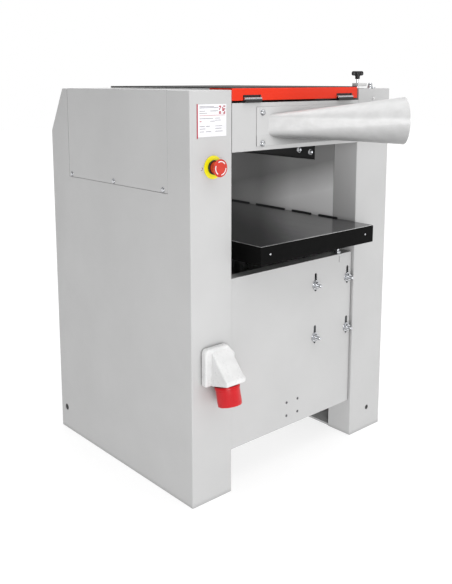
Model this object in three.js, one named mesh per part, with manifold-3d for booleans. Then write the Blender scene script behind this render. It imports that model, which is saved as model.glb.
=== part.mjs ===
// Thickness planer: two folded-sheet columns, a planing head between them and a lifting table.
// Millimetres, +Z up, +X to the right along the outfeed side, +Y towards the infeed side.
// While it is built, the origin is the outfeed left corner of the left column, at the floor.
// The last step moves the machine so that its origin is the middle of its box, at the floor.
import * as THREE from 'three';
import { mergeVertices } from 'three/addons/utils/BufferGeometryUtils.js';
import Module from 'manifold-3d';

const wasm = await Module();
wasm.setup();

// ---------- driving dimensions ----------
const WIDTH = 782.6;
const DEPTH = 671;
const HEIGHT = 1080;
const SHEET = 3;
const GAP = 0.3;
const LEFT_COLUMN_X = 136;
const RIGHT_COLUMN_X = 634.8;
const RETURN_DEPTH = 88;
const CHAMFER_Y = 601;
const CHAMFER_Z = 953;
const BEAM_BOTTOM = 923.3;
const BEAM_TOP = 1047;
const COVER_Y = [90, 572];
const COVER_Z = 821;
const COVER_SCREWS_Y = [110, 336, 557];
const COVER_SCREW_Z = 829;
const COVER_SCREW_R = 7.2;
const FOOT_THICKNESS = 6;

const TABLE_X = [173, 631];
const TABLE_Y = [-70, 741];
const TABLE_TOP = 685;
const TABLE_HEIGHT = 50;
const TABLE_PLATE = 14;
const TABLE_TABS_Y = [[69, 145], [176, 260], [293, 428], [462, 550]];

const CUTTER_Y = 320;
const CUTTER_Z = 961;
const CUTTER_R = 48;
const KNIFE_COUNT = 3;
const ROLLER_Z = 947;
const ROLLER_R = 35;
const INFEED_Y = 425;
const OUTFEED_Y = 215;
const ROLL_X = [175, 629];
const FINGER_Y = 515;
const FINGER_Z = 972;
const FINGER_LENGTH = 60;

const CASTING_Y = [150, 570];
const CASTING_Z = [858, 1040];
const LEFT_CASTING_X = [146, 164];
const RIGHT_CASTING_X = [641.6, 660];
const WALL_NOTCH_Y = [167, 555];
const LEFT_WALL_X = 169;

const MOTOR_Y = 114;
const MOTOR_Z = 435.5;
const MOTOR_BOLTS_X = [474, 616];
const MOTOR_BOLTS_Z = [357.5, 515.5];
const PANEL_Y = 10;
const PANEL_Z = [114.3, 591.5];
const PANEL_SLOTS_Z = [[338, 393], [496, 551]];
const SLOT_R = 5;
const TENSION = [582, 21];
const BELT_X = 712;
const BELT_WIDTH = 26;
const MOTOR_PULLEY_R = 68;
const HEAD_PULLEY_R = 36;

const TRAY_Z = 150;
const POSTS = [[260, 400], [545, 400]];
const SCREW_R = 13;
const POST_R = 32;
const SPROCKET_Z = [128, 136];
const SPROCKET_R = 34;
const LIFT_SHAFT = [708.7, 540];
const BEVEL_Z = 700;
const BEVEL_R = 24;
const WHEEL_R = 60;
const WHEEL_Y = 704;
const SHAFT_R = 8;

const GEARBOX_SPROCKET = [320, 880];
const FEED_CHAIN_X = [32, 40];
const FEED_SPROCKET_R = 30;
const SELECTOR = [94, 925];

const HINGE_Y = -2;
const HINGE_Z = 1057;
const HINGES_X = [[175, 236], [537, 603]];
const HOOD_X = [137, 629.5];
const HOOD_Y = [0, 551];
const HOOD_Z = [1053, 1085.5];
const KNOB = [639, 10];

const PORT_R = 62.5;
const PORT_CENTRE = new THREE.Vector3(547, -222, 998);
const PORT_NORMAL = new THREE.Vector3(0.791, -0.612, 0).normalize();
const DUST_BASE_X = [262, 600];
const DUST_BASE_Z = [951, 1018];
const DUST_WALL = 2.5;
const HOOD_BOLTS_Z = [940.5, 1021.5];
const HOOD_BOLT_X = 242.5;
const CHIP_WINDOW_X = [285, 580];
const CHIP_WINDOW_Z = [960, 1008];

const ESTOP = [72.7, 891];
const INLET_X = 82;
const INLET_TILT = THREE.MathUtils.degToRad(13.6);
const BUTTONS = [[54, 810], [82, 810]];
const BUTTON_R = 10;
const ROUND = 16;

// ---------- materials ----------
const paint = (color, roughness = 0.5, metalness = 0) =>
  new THREE.MeshStandardMaterial({ color, roughness, metalness });
const GREY = paint(0xdcdcdc, 0.45);
const WHITE = paint(0xf4f4f4, 0.25);
const RED = paint(0xf03c1c, 0.35);
const CAST = paint(0x262626, 0.6, 0.3);
const TABLE_STEEL = paint(0x4a4a4a, 0.25, 0.7);
const STEEL = paint(0xb8bcc0, 0.3, 0.9);
const ZINC = paint(0xcfd2d6, 0.3, 0.9);
const BLACK = paint(0x181818, 0.5);
const YELLOW = paint(0xf2e21b, 0.4);
const SIGNAL_RED = paint(0xc81820, 0.4);
const GREEN = paint(0x1f9a4a, 0.4);
const MOTOR_GREY = paint(0x5a6168, 0.5, 0.3);
const RUBBER = paint(0x111111, 0.8);

// ---------- shape helpers ----------
/** A closed three.js geometry as a solid for joining and cutting. */
function solid(geometry) {
  const bare = geometry.clone();
  bare.deleteAttribute('normal');
  bare.deleteAttribute('uv');
  const merged = mergeVertices(bare, 1e-4);
  return new wasm.Manifold(new wasm.Mesh({
    numProp: 3,
    vertProperties: Float32Array.from(merged.attributes.position.array),
    triVerts: Uint32Array.from(merged.index.array),
  }));
}

/** A solid back as three.js geometry. */
function surface(body) {
  const mesh = body.getMesh();
  const geometry = new THREE.BufferGeometry();
  geometry.setAttribute('position', new THREE.BufferAttribute(Float32Array.from(mesh.vertProperties), 3));
  geometry.setIndex(new THREE.BufferAttribute(Uint32Array.from(mesh.triVerts), 1));
  geometry.computeVertexNormals();
  return geometry;
}

function join(...bodies) {
  return bodies.reduce((whole, body) => whole.add(body));
}

function cut(body, ...tools) {
  return tools.reduce((rest, tool) => rest.subtract(tool), body);
}

/** A block between two limits on each axis. */
function block(x, y, z) {
  const geometry = new THREE.BoxGeometry(x[1] - x[0], y[1] - y[0], z[1] - z[0]);
  geometry.translate((x[0] + x[1]) / 2, (y[0] + y[1]) / 2, (z[0] + z[1]) / 2);
  return solid(geometry);
}

/** A round bar along one axis: centre holds the other two coordinates, in X, Y, Z order. */
function bar(axis, centre, span, radius, radiusEnd = radius, sides = ROUND) {
  const geometry = new THREE.CylinderGeometry(radiusEnd, radius, span[1] - span[0], sides);
  const middle = (span[0] + span[1]) / 2;
  if (axis === 'x') {
    geometry.rotateZ(-Math.PI / 2);
    geometry.translate(middle, centre[0], centre[1]);
  } else if (axis === 'y') {
    geometry.translate(centre[0], middle, centre[1]);
  } else {
    geometry.rotateX(Math.PI / 2);
    geometry.translate(centre[0], centre[1], middle);
  }
  return solid(geometry);
}

/** An outline in the Y-Z plane, extruded along X. */
function prismX(points, x) {
  const shape = new THREE.Shape(points.map(([y, z]) => new THREE.Vector2(y, z)));
  const geometry = new THREE.ExtrudeGeometry(shape, { depth: x[1] - x[0], bevelEnabled: false });
  geometry.applyMatrix4(new THREE.Matrix4().set(0, 0, 1, x[0], 1, 0, 0, 0, 0, 1, 0, 0, 0, 0, 0, 1));
  return solid(geometry);
}

/** An outline in the X-Y plane, extruded along Z. */
function prismZ(points, z) {
  const shape = new THREE.Shape(points.map(([x, y]) => new THREE.Vector2(x, y)));
  const geometry = new THREE.ExtrudeGeometry(shape, { depth: z[1] - z[0], bevelEnabled: false });
  geometry.translate(0, 0, z[0]);
  return solid(geometry);
}

/** The outline that a belt takes outside round wheels, each [a, b, radius], grown by offset. */
function beltOutline(wheels, offset) {
  const points = [];
  for (const [a, b, radius] of wheels) {
    const reach = (radius + offset) / Math.cos(Math.PI / ROUND);
    for (let i = 0; i < ROUND; i += 1) {
      const angle = (2 * Math.PI * i) / ROUND;
      points.push([a + reach * Math.cos(angle), b + reach * Math.sin(angle)]);
    }
  }
  points.sort((p, q) => p[0] - q[0] || p[1] - q[1]);
  const turn = (o, p, q) => (p[0] - o[0]) * (q[1] - o[1]) - (p[1] - o[1]) * (q[0] - o[0]);
  const chainOf = (list) => {
    const chain = [];
    for (const point of list) {
      while (chain.length > 1 && turn(chain[chain.length - 2], chain[chain.length - 1], point) <= 1e-6) {
        chain.pop();
      }
      chain.push(point);
    }
    chain.pop();
    return chain;
  };
  return [...chainOf(points), ...chainOf([...points].reverse())];
}

/** A closed belt or chain: the band between two outlines around the same wheels. */
function belt(wheels, thickness, span, prism) {
  const clearance = 0.6;
  const outer = prism(beltOutline(wheels, clearance + thickness), span);
  const inner = prism(beltOutline(wheels, clearance), [span[0] - 1, span[1] + 1]);
  return cut(outer, inner);
}

/** A star outline: radius swings between two values a whole number of times. */
function starOutline(lobes, outerR, innerR, steps) {
  const points = [];
  for (let i = 0; i < lobes * steps; i += 1) {
    const angle = (2 * Math.PI * i) / (lobes * steps);
    const radius = (outerR + innerR) / 2 + ((outerR - innerR) / 2) * Math.cos(lobes * angle);
    points.push([radius * Math.cos(angle), radius * Math.sin(angle)]);
  }
  return points;
}

const group = new THREE.Group();
function add(name, body, material) {
  const mesh = new THREE.Mesh(surface(body), material);
  mesh.name = name;
  group.add(mesh);
}

// ---------- columns ----------
const columnOutline = (inset) => [
  [inset, inset ? -1 : 0],
  [DEPTH - inset, inset ? -1 : 0],
  [DEPTH - inset, CHAMFER_Z - inset * 0.5],
  [CHAMFER_Y - inset * 0.5, HEIGHT - inset],
  [inset, HEIGHT - inset],
];

/** One column shell: sheet folded round the outer side, the two ends, the top and the two returns. */
function columnShell(x, outerSide) {
  const hollow = outerSide < 0 ? [x[0] + SHEET, x[1] + 1] : [x[0] - 1, x[1] - SHEET];
  const fold = outerSide < 0 ? [x[1] - SHEET, x[1]] : [x[0], x[0] + SHEET];
  const returnZ = [0, CHAMFER_Z - 20];
  return join(
    cut(prismX(columnOutline(0), x), prismX(columnOutline(SHEET), hollow)),
    block(fold, [1, RETURN_DEPTH], [0, HEIGHT - 1]),
    block(fold, [DEPTH - RETURN_DEPTH, DEPTH - 1], returnZ),
  );
}

function addLeftColumn() {
  const shell = columnShell([0, LEFT_COLUMN_X], -1);
  const rim = 20;
  const rimX = [SHEET - 0.1, SHEET + 2];
  const opened = cut(
    shell,
    block([-1, SHEET], COVER_Y, [COVER_Z, HEIGHT + 1]),
    bar('x', [638, 70], [-1, SHEET + 1], 10),
    bar('y', ESTOP, [-1, SHEET + 1], 11, 11, 20),
    bar('y', SELECTOR, [DEPTH - SHEET - 1, DEPTH + 1], 6, 6, 16),
    block([40, 96], [DEPTH - SHEET - 1, DEPTH + 1], [780, 840]),
  );
  add('left_column', join(
    opened,
    block(rimX, [COVER_Y[0] - rim, COVER_Y[0] + rim], [COVER_Z - rim, HEIGHT - SHEET + 1]),
    block(rimX, [COVER_Y[1] - rim, COVER_Y[1] + rim], [COVER_Z - rim, HEIGHT - SHEET + 1]),
    block(rimX, [COVER_Y[0], COVER_Y[1]], [COVER_Z - rim, COVER_Z + rim]),
  ), GREY);
  add('side_cover', join(
    block([0, SHEET - 0.5], [COVER_Y[0] + 0.8, COVER_Y[1] - 0.8], [COVER_Z + 0.8, HEIGHT]),
    ...COVER_SCREWS_Y.map((y) => bar('x', [y, COVER_SCREW_Z], [-3, 0.5], COVER_SCREW_R - 2, COVER_SCREW_R, 12)),
  ), GREY);
  const x = [LEFT_WALL_X - SHEET, LEFT_WALL_X];
  const flangeX = [LEFT_COLUMN_X - 26, LEFT_WALL_X];
  const y = [RETURN_DEPTH + GAP, DEPTH - RETURN_DEPTH - GAP];
  const z = [TRAY_Z + 12, CASTING_Z[1]];
  add('left_inner_wall', cut(
    join(
      block(x, y, z),
      block(flangeX, [y[0], y[0] + SHEET], z),
      block(flangeX, [y[1] - SHEET, y[1]], z),
    ),
    block([x[0] - 1, x[1] + 1], WALL_NOTCH_Y, [CASTING_Z[0], CASTING_Z[1] + 1]),
  ), GREY);
}

function addRightColumn() {
  const shell = columnShell([RIGHT_COLUMN_X, WIDTH], 1);
  add('right_column', cut(
    shell,
    bar('y', [718, 69], [-1, SHEET + 1], 7),
    bar('y', [LIFT_SHAFT[0], BEVEL_Z], [DEPTH - SHEET - 1, DEPTH + 1], SHAFT_R + 1, SHAFT_R + 1, 20),
  ), GREY);
  const x = [RIGHT_COLUMN_X, RIGHT_COLUMN_X + SHEET];
  const y = [RETURN_DEPTH + 0.8, DEPTH - RETURN_DEPTH - 0.8];
  const z = [TRAY_Z + 12, HEIGHT - SHEET - GAP];
  const lapX = [x[1] + GAP, x[1] + GAP + SHEET];
  const lap = 18;
  const slot = join(
    block([x[0] - 1, x[1] + 1], [MOTOR_Y - 22, MOTOR_Y + 22], [MOTOR_Z - 30, MOTOR_Z + 30]),
    bar('x', [MOTOR_Y, MOTOR_Z - 30], [x[0] - 1, x[1] + 1], 22),
    bar('x', [MOTOR_Y, MOTOR_Z + 30], [x[0] - 1, x[1] + 1], 22),
  );
  const wall = cut(
    block(x, y, z),
    block([x[0] - 1, x[1] + 1], WALL_NOTCH_Y, [CASTING_Z[0], HEIGHT]),
  );
  const laps = [y[0], y[1]].map((edge, i) => {
    const inward = i === 0 ? [edge, edge + 8] : [edge - 8, edge];
    const outward = i === 0 ? [edge - lap, edge + 8] : [edge - 8, edge + lap];
    return join(block([x[1] - 0.5, lapX[1]], inward, z), block(lapX, outward, z));
  });
  const lapTop = block([x[0] - 1, lapX[1] + 1], [y[1] - 8, y[1] + lap + 1], [CHAMFER_Z - 22, HEIGHT]);
  add('right_inner_wall', cut(join(wall, ...laps), slot, lapTop), GREY);
}

function addBases() {
  const y = [SHEET + GAP, DEPTH - SHEET - GAP];
  add('left_foot_plate', block([SHEET + GAP, LEFT_COLUMN_X - SHEET - GAP], y, [0, FOOT_THICKNESS]), GREY);
  const pivot = cut(
    bar('z', LIFT_SHAFT, [FOOT_THICKNESS - 1, 34], 16),
    bar('z', LIFT_SHAFT, [FOOT_THICKNESS, 40], SHAFT_R + 0.4),
  );
  add('right_foot_plate', join(
    block([RIGHT_COLUMN_X + SHEET + GAP, WIDTH - SHEET - GAP], y, [0, FOOT_THICKNESS]),
    pivot,
  ), GREY);
}

// ---------- cross members ----------
function addBeams() {
  const x = [LEFT_COLUMN_X + GAP, RIGHT_COLUMN_X - GAP];
  const flange = [SHEET - 1, 30];
  add('outfeed_beam', cut(
    join(
      block(x, [0, SHEET], [BEAM_BOTTOM, BEAM_TOP]),
      block(x, flange, [BEAM_BOTTOM, BEAM_BOTTOM + SHEET]),
      block(x, flange, [BEAM_TOP - SHEET, BEAM_TOP]),
    ),
    block(CHIP_WINDOW_X, [-1, SHEET + 1], CHIP_WINDOW_Z),
    ...HOOD_BOLTS_Z.map((z) => bar('y', [HOOD_BOLT_X, z], [-1, SHEET + 1], 4.5, 4.5, 12)),
  ), GREY);
  const outer = [
    [DEPTH, BEAM_BOTTOM],
    [DEPTH, CHAMFER_Z],
    [CHAMFER_Y, HEIGHT],
    [HOOD_Y[1] + 2, HEIGHT],
    [HOOD_Y[1] + 2, HEIGHT - SHEET],
    [CHAMFER_Y - 1.5, HEIGHT - SHEET],
    [DEPTH - SHEET, CHAMFER_Z - 1],
    [DEPTH - SHEET, BEAM_BOTTOM],
  ];
  add('infeed_beam', prismX(outer, x), GREY);
}

function addLowerPanels() {
  const x = [LEFT_COLUMN_X + 1, RIGHT_COLUMN_X - 2.3];
  const through = [PANEL_Y - 1, PANEL_Y + 3];
  const slots = MOTOR_BOLTS_X.flatMap((slotX) => PANEL_SLOTS_Z.map(([low, high]) => join(
    block([slotX - SLOT_R, slotX + SLOT_R], through, [low + SLOT_R, high - SLOT_R]),
    bar('y', [slotX, low + SLOT_R], through, SLOT_R),
    bar('y', [slotX, high - SLOT_R], through, SLOT_R),
  )));
  add('motor_panel', cut(
    join(
      block(x, [PANEL_Y, PANEL_Y + 2], PANEL_Z),
      block(x, [PANEL_Y + 1, PANEL_Y + 36], [PANEL_Z[1] - 2, PANEL_Z[1]]),
      block(x, [PANEL_Y + 1, PANEL_Y + 24], [PANEL_Z[0], PANEL_Z[0] + 2]),
    ),
    ...slots,
    block([576, 578], through, [567, 585]),
    bar('z', TENSION, [PANEL_Z[1] - 4, PANEL_Z[1] + 1], 6, 6, 16),
  ), GREY);
  const y = DEPTH - PANEL_Y - 2;
  add('infeed_panel', join(
    block(x, [y, y + 2], [PANEL_Z[0], 600]),
    block(x, [y - 30, y + 1], [598, 600]),
    block(x, [y - 22, y + 1], [PANEL_Z[0], PANEL_Z[0] + 2]),
  ), GREY);
}

// ---------- base tray and table lift ----------
function addBaseTray() {
  const x = [LEFT_COLUMN_X + 1, RIGHT_COLUMN_X - 1];
  const y = [PANEL_Y + 38, DEPTH - PANEL_Y - 34];
  const guides = POSTS.map((post) => bar('z', post, [TRAY_Z + 4, 400], POST_R + 11));
  const bores = POSTS.map((post) => join(
    bar('z', post, [TRAY_Z + 6, 401], POST_R + 0.6),
    bar('z', post, [TRAY_Z - 1, TRAY_Z + 10], 10.5),
  ));
  add('base_tray', cut(
    join(
      block(x, y, [TRAY_Z, TRAY_Z + 6]),
      block(x, [y[0], y[0] + 4], [TRAY_Z + 1, TRAY_Z + 40]),
      block(x, [y[1] - 4, y[1]], [TRAY_Z + 1, TRAY_Z + 40]),
      ...guides,
    ),
    ...bores,
  ), GREY);
}

function addTable() {
  const bottom = TABLE_TOP - TABLE_HEIGHT;
  const wall = 14;
  const rib = 10;
  const columns = 2;
  const rows = 3;
  const pocketX = (TABLE_X[1] - TABLE_X[0] - 2 * wall - (columns - 1) * rib) / columns;
  const pocketY = (TABLE_Y[1] - TABLE_Y[0] - 2 * wall - (rows - 1) * rib) / rows;
  const pockets = [];
  for (let i = 0; i < columns; i += 1) {
    for (let j = 0; j < rows; j += 1) {
      const x = TABLE_X[0] + wall + i * (pocketX + rib);
      const y = TABLE_Y[0] + wall + j * (pocketY + rib);
      pockets.push(block([x, x + pocketX], [y, y + pocketY], [bottom - 1, TABLE_TOP - TABLE_PLATE]));
    }
  }
  add('table', cut(block(TABLE_X, TABLE_Y, [bottom, TABLE_TOP]), ...pockets), TABLE_STEEL);
  const stripX = [TABLE_X[1] + GAP, TABLE_X[1] + 3.3];
  add('table_edge_strip', join(
    block(stripX, [50, 600], [TABLE_TOP - 12, TABLE_TOP]),
    ...TABLE_TABS_Y.map((y) => block(stripX, y, [TABLE_TOP - 1, TABLE_TOP + 4])),
  ), BLACK);
}

/** One hollow table post: flange under the table, plain tube, and the lifting nut at its foot. */
function postBody(post) {
  const top = TABLE_TOP - TABLE_PLATE - GAP;
  const foot = 285;
  const profile = [
    [SCREW_R + 0.5, foot],
    [POST_R, foot],
    [POST_R, top - 12],
    [POST_R + 18, top - 12],
    [POST_R + 18, top],
    [POST_R - 8, top],
    [POST_R - 8, foot + 30],
    [SCREW_R + 0.5, foot + 30],
    [SCREW_R + 0.5, foot],
  ];
  const geometry = new THREE.LatheGeometry(profile.map(([r, z]) => new THREE.Vector2(r, z)), ROUND);
  geometry.rotateX(Math.PI / 2);
  geometry.translate(post[0], post[1], 0);
  return solid(geometry);
}

function addLift() {
  POSTS.forEach((post, i) => {
    add(`table_post_${i + 1}`, postBody(post), STEEL);
    add(`lift_screw_${i + 1}`, join(
      bar('z', post, [SPROCKET_Z[0] - 6, 170], 10),
      bar('z', post, [TRAY_Z + 6 + GAP, 600], SCREW_R),
      bar('z', post, SPROCKET_Z, SPROCKET_R),
    ), STEEL);
  });
  add('lift_shaft', join(
    bar('z', LIFT_SHAFT, [FOOT_THICKNESS + GAP, BEVEL_Z - 12], SHAFT_R),
    bar('z', LIFT_SHAFT, SPROCKET_Z, SPROCKET_R),
    bar('z', LIFT_SHAFT, [BEVEL_Z - BEVEL_R, BEVEL_Z - 12], BEVEL_R - 0.6, 11.4),
  ), STEEL);
  const wheels = [...POSTS, LIFT_SHAFT].map(([x, y]) => [x, y, SPROCKET_R]);
  add('lift_chain', belt(wheels, 5, SPROCKET_Z, prismZ), BLACK);
}

function addHandwheel() {
  const [x, y] = LIFT_SHAFT;
  const centre = [x, BEVEL_Z];
  add('handwheel_shaft', join(
    bar('y', centre, [y + 12, WHEEL_Y + 6], SHAFT_R),
    bar('y', centre, [y + 12, y + BEVEL_R], 11.4, BEVEL_R - 0.6),
  ), STEEL);
  const rim = new THREE.TorusGeometry(WHEEL_R, 8, 6, 20);
  rim.rotateX(Math.PI / 2);
  rim.translate(x, WHEEL_Y, BEVEL_Z);
  const spokes = [0, 1, 2].map((i) => {
    const spoke = new THREE.BoxGeometry(12, 8, WHEEL_R - 4);
    spoke.translate(0, 0, (WHEEL_R - 4) / 2 + 4);
    spoke.rotateY((i * 2 * Math.PI) / 3);
    spoke.translate(x, WHEEL_Y, BEVEL_Z);
    return solid(spoke);
  });
  const hub = bar('y', centre, [DEPTH + 5, WHEEL_Y + 12], 18);
  const gripPin = bar('y', [x, BEVEL_Z + WHEEL_R], [WHEEL_Y, WHEEL_Y + 62], 4, 4, 16);
  const gripCap = bar('y', [x, BEVEL_Z + WHEEL_R], [WHEEL_Y + 60, WHEEL_Y + 63], 7, 7, 16);
  add('handwheel', cut(
    join(solid(rim), hub, ...spokes, gripPin, gripCap),
    bar('y', centre, [DEPTH, WHEEL_Y + 6 + GAP], SHAFT_R + GAP),
  ), BLACK);
  const grip = new THREE.LatheGeometry([
    [4.6, 10], [9, 10], [12, 24], [11, 40], [8, 59], [4.6, 59], [4.6, 10],
  ].map(([r, h]) => new THREE.Vector2(r, h)), 12);
  grip.translate(x, WHEEL_Y, BEVEL_Z + WHEEL_R);
  add('handwheel_grip', solid(grip), BLACK);
}

// ---------- planing head ----------
function casting(x, bossX) {
  const plate = block(x, CASTING_Y, CASTING_Z);
  const bosses = [[CUTTER_Y, CUTTER_Z, 46], [INFEED_Y, ROLLER_Z, 24], [OUTFEED_Y, ROLLER_Z, 24]]
    .map(([y, z, r]) => bar('x', [y, z], bossX, r));
  const through = [x[0] - 30, x[1] + 30];
  return cut(
    join(plate, ...bosses),
    bar('x', [CUTTER_Y, CUTTER_Z], through, 18.4, 18.4, 12),
    bar('x', [INFEED_Y, ROLLER_Z], through, 13.2, 13.2, 12),
    bar('x', [OUTFEED_Y, ROLLER_Z], through, 13.2, 13.2, 12),
    bar('x', [FINGER_Y, FINGER_Z], through, 8.8, 8.8, 12),
  );
}

function addHead() {
  add('left_head_casting', casting(LEFT_CASTING_X, [134, 150]), CAST);
  add('right_head_casting', casting(RIGHT_CASTING_X, [655, 672]), CAST);

  const slots = [];
  const knives = [];
  for (let i = 0; i < KNIFE_COUNT; i += 1) {
    const angle = (2 * Math.PI * i) / KNIFE_COUNT;
    const place = (geometry) => {
      geometry.rotateX(angle);
      geometry.translate((ROLL_X[0] + ROLL_X[1]) / 2, CUTTER_Y, CUTTER_Z);
      return solid(geometry);
    };
    const slot = new THREE.BoxGeometry(ROLL_X[1] - ROLL_X[0] + 2, 4, 30);
    slot.translate(0, 6, CUTTER_R - 24 + 15);
    const knife = new THREE.BoxGeometry(ROLL_X[1] - ROLL_X[0], 3.2, 24);
    knife.translate(0, 6, CUTTER_R - 24 + GAP + 12);
    slots.push(place(slot));
    knives.push(place(knife));
  }
  const shaft = [CUTTER_Y, CUTTER_Z];
  add('cutterhead', cut(
    join(
      bar('x', shaft, ROLL_X, CUTTER_R, CUTTER_R, 24),
      bar('x', shaft, [110, 660], 17.2),
      bar('x', shaft, [650, 745], 14),
    ),
    ...slots,
  ), STEEL);
  knives.forEach((knife, i) => add(`knife_${i + 1}`, knife, ZINC));
  add('cutterhead_pulley', pulley(CUTTER_Y, CUTTER_Z, HEAD_PULLEY_R), CAST);

  const flutes = starOutline(16, ROLLER_R, ROLLER_R - 3, 2)
    .map(([a, b]) => [INFEED_Y + a, ROLLER_Z + b]);
  add('infeed_roller', rollerBody(INFEED_Y, prismX(flutes, ROLL_X)), STEEL);
  add('outfeed_roller', rollerBody(OUTFEED_Y, bar('x', [OUTFEED_Y, ROLLER_Z], ROLL_X, ROLLER_R)), RUBBER);

  const pitch = 38;
  const fingers = [];
  for (let x = ROLL_X[0] + 5; x < ROLL_X[1] - 28; x += pitch) {
    fingers.push(prismX([
      [FINGER_Y - 9, FINGER_Z],
      [FINGER_Y - 9, FINGER_Z - FINGER_LENGTH],
      [FINGER_Y - 3, FINGER_Z - FINGER_LENGTH],
      [FINGER_Y + 11, FINGER_Z - 18],
      [FINGER_Y + 11, FINGER_Z],
    ], [x, x + 28]));
  }
  add('kickback_fingers', join(
    bar('x', [FINGER_Y, FINGER_Z], [148, 658], 8, 8, 12),
    bar('x', [FINGER_Y, FINGER_Z], ROLL_X, 12, 12, 8),
    ...fingers,
  ), CAST);
}

/** A feed roller: its barrel, its journals in the two castings, and the chain sprocket at the left. */
function rollerBody(y, barrel) {
  const centre = [y, ROLLER_Z];
  return join(
    barrel,
    bar('x', centre, [28, 668], 12.2, 12.2, 20),
    bar('x', centre, FEED_CHAIN_X, FEED_SPROCKET_R),
  );
}

/** A flanged belt pulley on a shaft along X. */
function pulley(y, z, radius) {
  const rim = radius + 5;
  const face = BELT_WIDTH / 2 + 0.6;
  const end = face + 4;
  const profile = [
    [14.3, BELT_X - end],
    [rim, BELT_X - end],
    [rim, BELT_X - face],
    [radius, BELT_X - face],
    [radius, BELT_X + face],
    [rim, BELT_X + face],
    [rim, BELT_X + end],
    [14.3, BELT_X + end],
    [14.3, BELT_X - end],
  ];
  const geometry = new THREE.LatheGeometry(profile.map(([r, h]) => new THREE.Vector2(r, h)), ROUND);
  geometry.rotateZ(-Math.PI / 2);
  geometry.translate(0, y, z);
  return solid(geometry);
}

// ---------- drive ----------
function addDrive() {
  const centre = [MOTOR_Y, MOTOR_Z];
  const footY = [PANEL_Y + 2 + GAP, PANEL_Y + 18];
  const footX = [MOTOR_BOLTS_X[0] - 16, MOTOR_BOLTS_X[1] + 16];
  const bolts = MOTOR_BOLTS_X.flatMap((x) => MOTOR_BOLTS_Z.map((z) => [x, z]));
  add('motor', cut(
    join(
      bar('x', centre, [380, 612], 92, 92, 20),
      bar('x', centre, [611, 628], 90, 62, 20),
      bar('x', centre, [322, 381], 84, 92, 20),
      block(footX, footY, [MOTOR_BOLTS_Z[0] - 18, MOTOR_BOLTS_Z[1] + 18]),
      block([footX[0] + 6, footX[1] - 6], [footY[0] + 4, MOTOR_Y], [MOTOR_Z - 62, MOTOR_Z + 62]),
      block([430, 520], [MOTOR_Y + 60, MOTOR_Y + 128], [MOTOR_Z - 42, MOTOR_Z + 42]),
    ),
    bar('x', centre, [560, 630], 14.8),
    ...bolts.map((bolt) => bar('y', bolt, [0, footY[1] + 1], 5.8, 5.8, 10)),
  ), MOTOR_GREY);
  bolts.forEach((bolt, i) => add(`motor_bolt_${i + 1}`, join(
    bar('y', bolt, [-13, footY[1]], 5, 5, 10),
    bar('y', bolt, [PANEL_Y - 2.2, PANEL_Y - GAP], 14, 14, 16),
    bar('y', bolt, [-1, PANEL_Y - 2], 10, 10, 6),
  ), ZINC));
  add('motor_shaft', bar('x', centre, [562, 742], 14), STEEL);
  add('motor_pulley', pulley(MOTOR_Y, MOTOR_Z, MOTOR_PULLEY_R), CAST);
  const wheels = [
    [MOTOR_Y, MOTOR_Z, MOTOR_PULLEY_R],
    [CUTTER_Y, CUTTER_Z, HEAD_PULLEY_R],
  ];
  const beltSpan = [BELT_X - BELT_WIDTH / 2, BELT_X + BELT_WIDTH / 2];
  add('drive_belt', belt(wheels, 6, beltSpan, prismX), RUBBER);
  add('tension_screw', join(
    bar('z', TENSION, [MOTOR_BOLTS_Z[1] + 18 + GAP, 614], 5, 5, 16),
    bar('z', TENSION, [PANEL_Z[1] + GAP, PANEL_Z[1] + 9], 10, 10, 6),
  ), ZINC);

  const [sprocketY, sprocketZ] = GEARBOX_SPROCKET;
  add('feed_gearbox', cut(
    join(
      block([62, 132], [262, 378], [850, 1010]),
      bar('x', [sprocketY, sprocketZ], [50, 64], 24),
    ),
    bar('x', [CUTTER_Y, CUTTER_Z], [100, 140], 18.2),
    bar('x', [sprocketY, sprocketZ], [45, 90], 13),
    bar('y', SELECTOR, [350, 380], 5.6, 5.6, 16),
  ), CAST);
  add('feed_sprocket', join(
    bar('x', GEARBOX_SPROCKET, [30, 88], 12.2, 12.2, 20),
    bar('x', GEARBOX_SPROCKET, FEED_CHAIN_X, FEED_SPROCKET_R),
  ), STEEL);
  add('feed_chain', belt([
    [INFEED_Y, ROLLER_Z, FEED_SPROCKET_R],
    [OUTFEED_Y, ROLLER_Z, FEED_SPROCKET_R],
    [sprocketY, sprocketZ, FEED_SPROCKET_R],
  ], 5, FEED_CHAIN_X, prismX), BLACK);
  add('feed_selector', join(
    bar('y', SELECTOR, [352, 702], 5, 5, 16),
    bar('y', SELECTOR, [700, 726], 12, 17, 20),
  ), BLACK);
}

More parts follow.
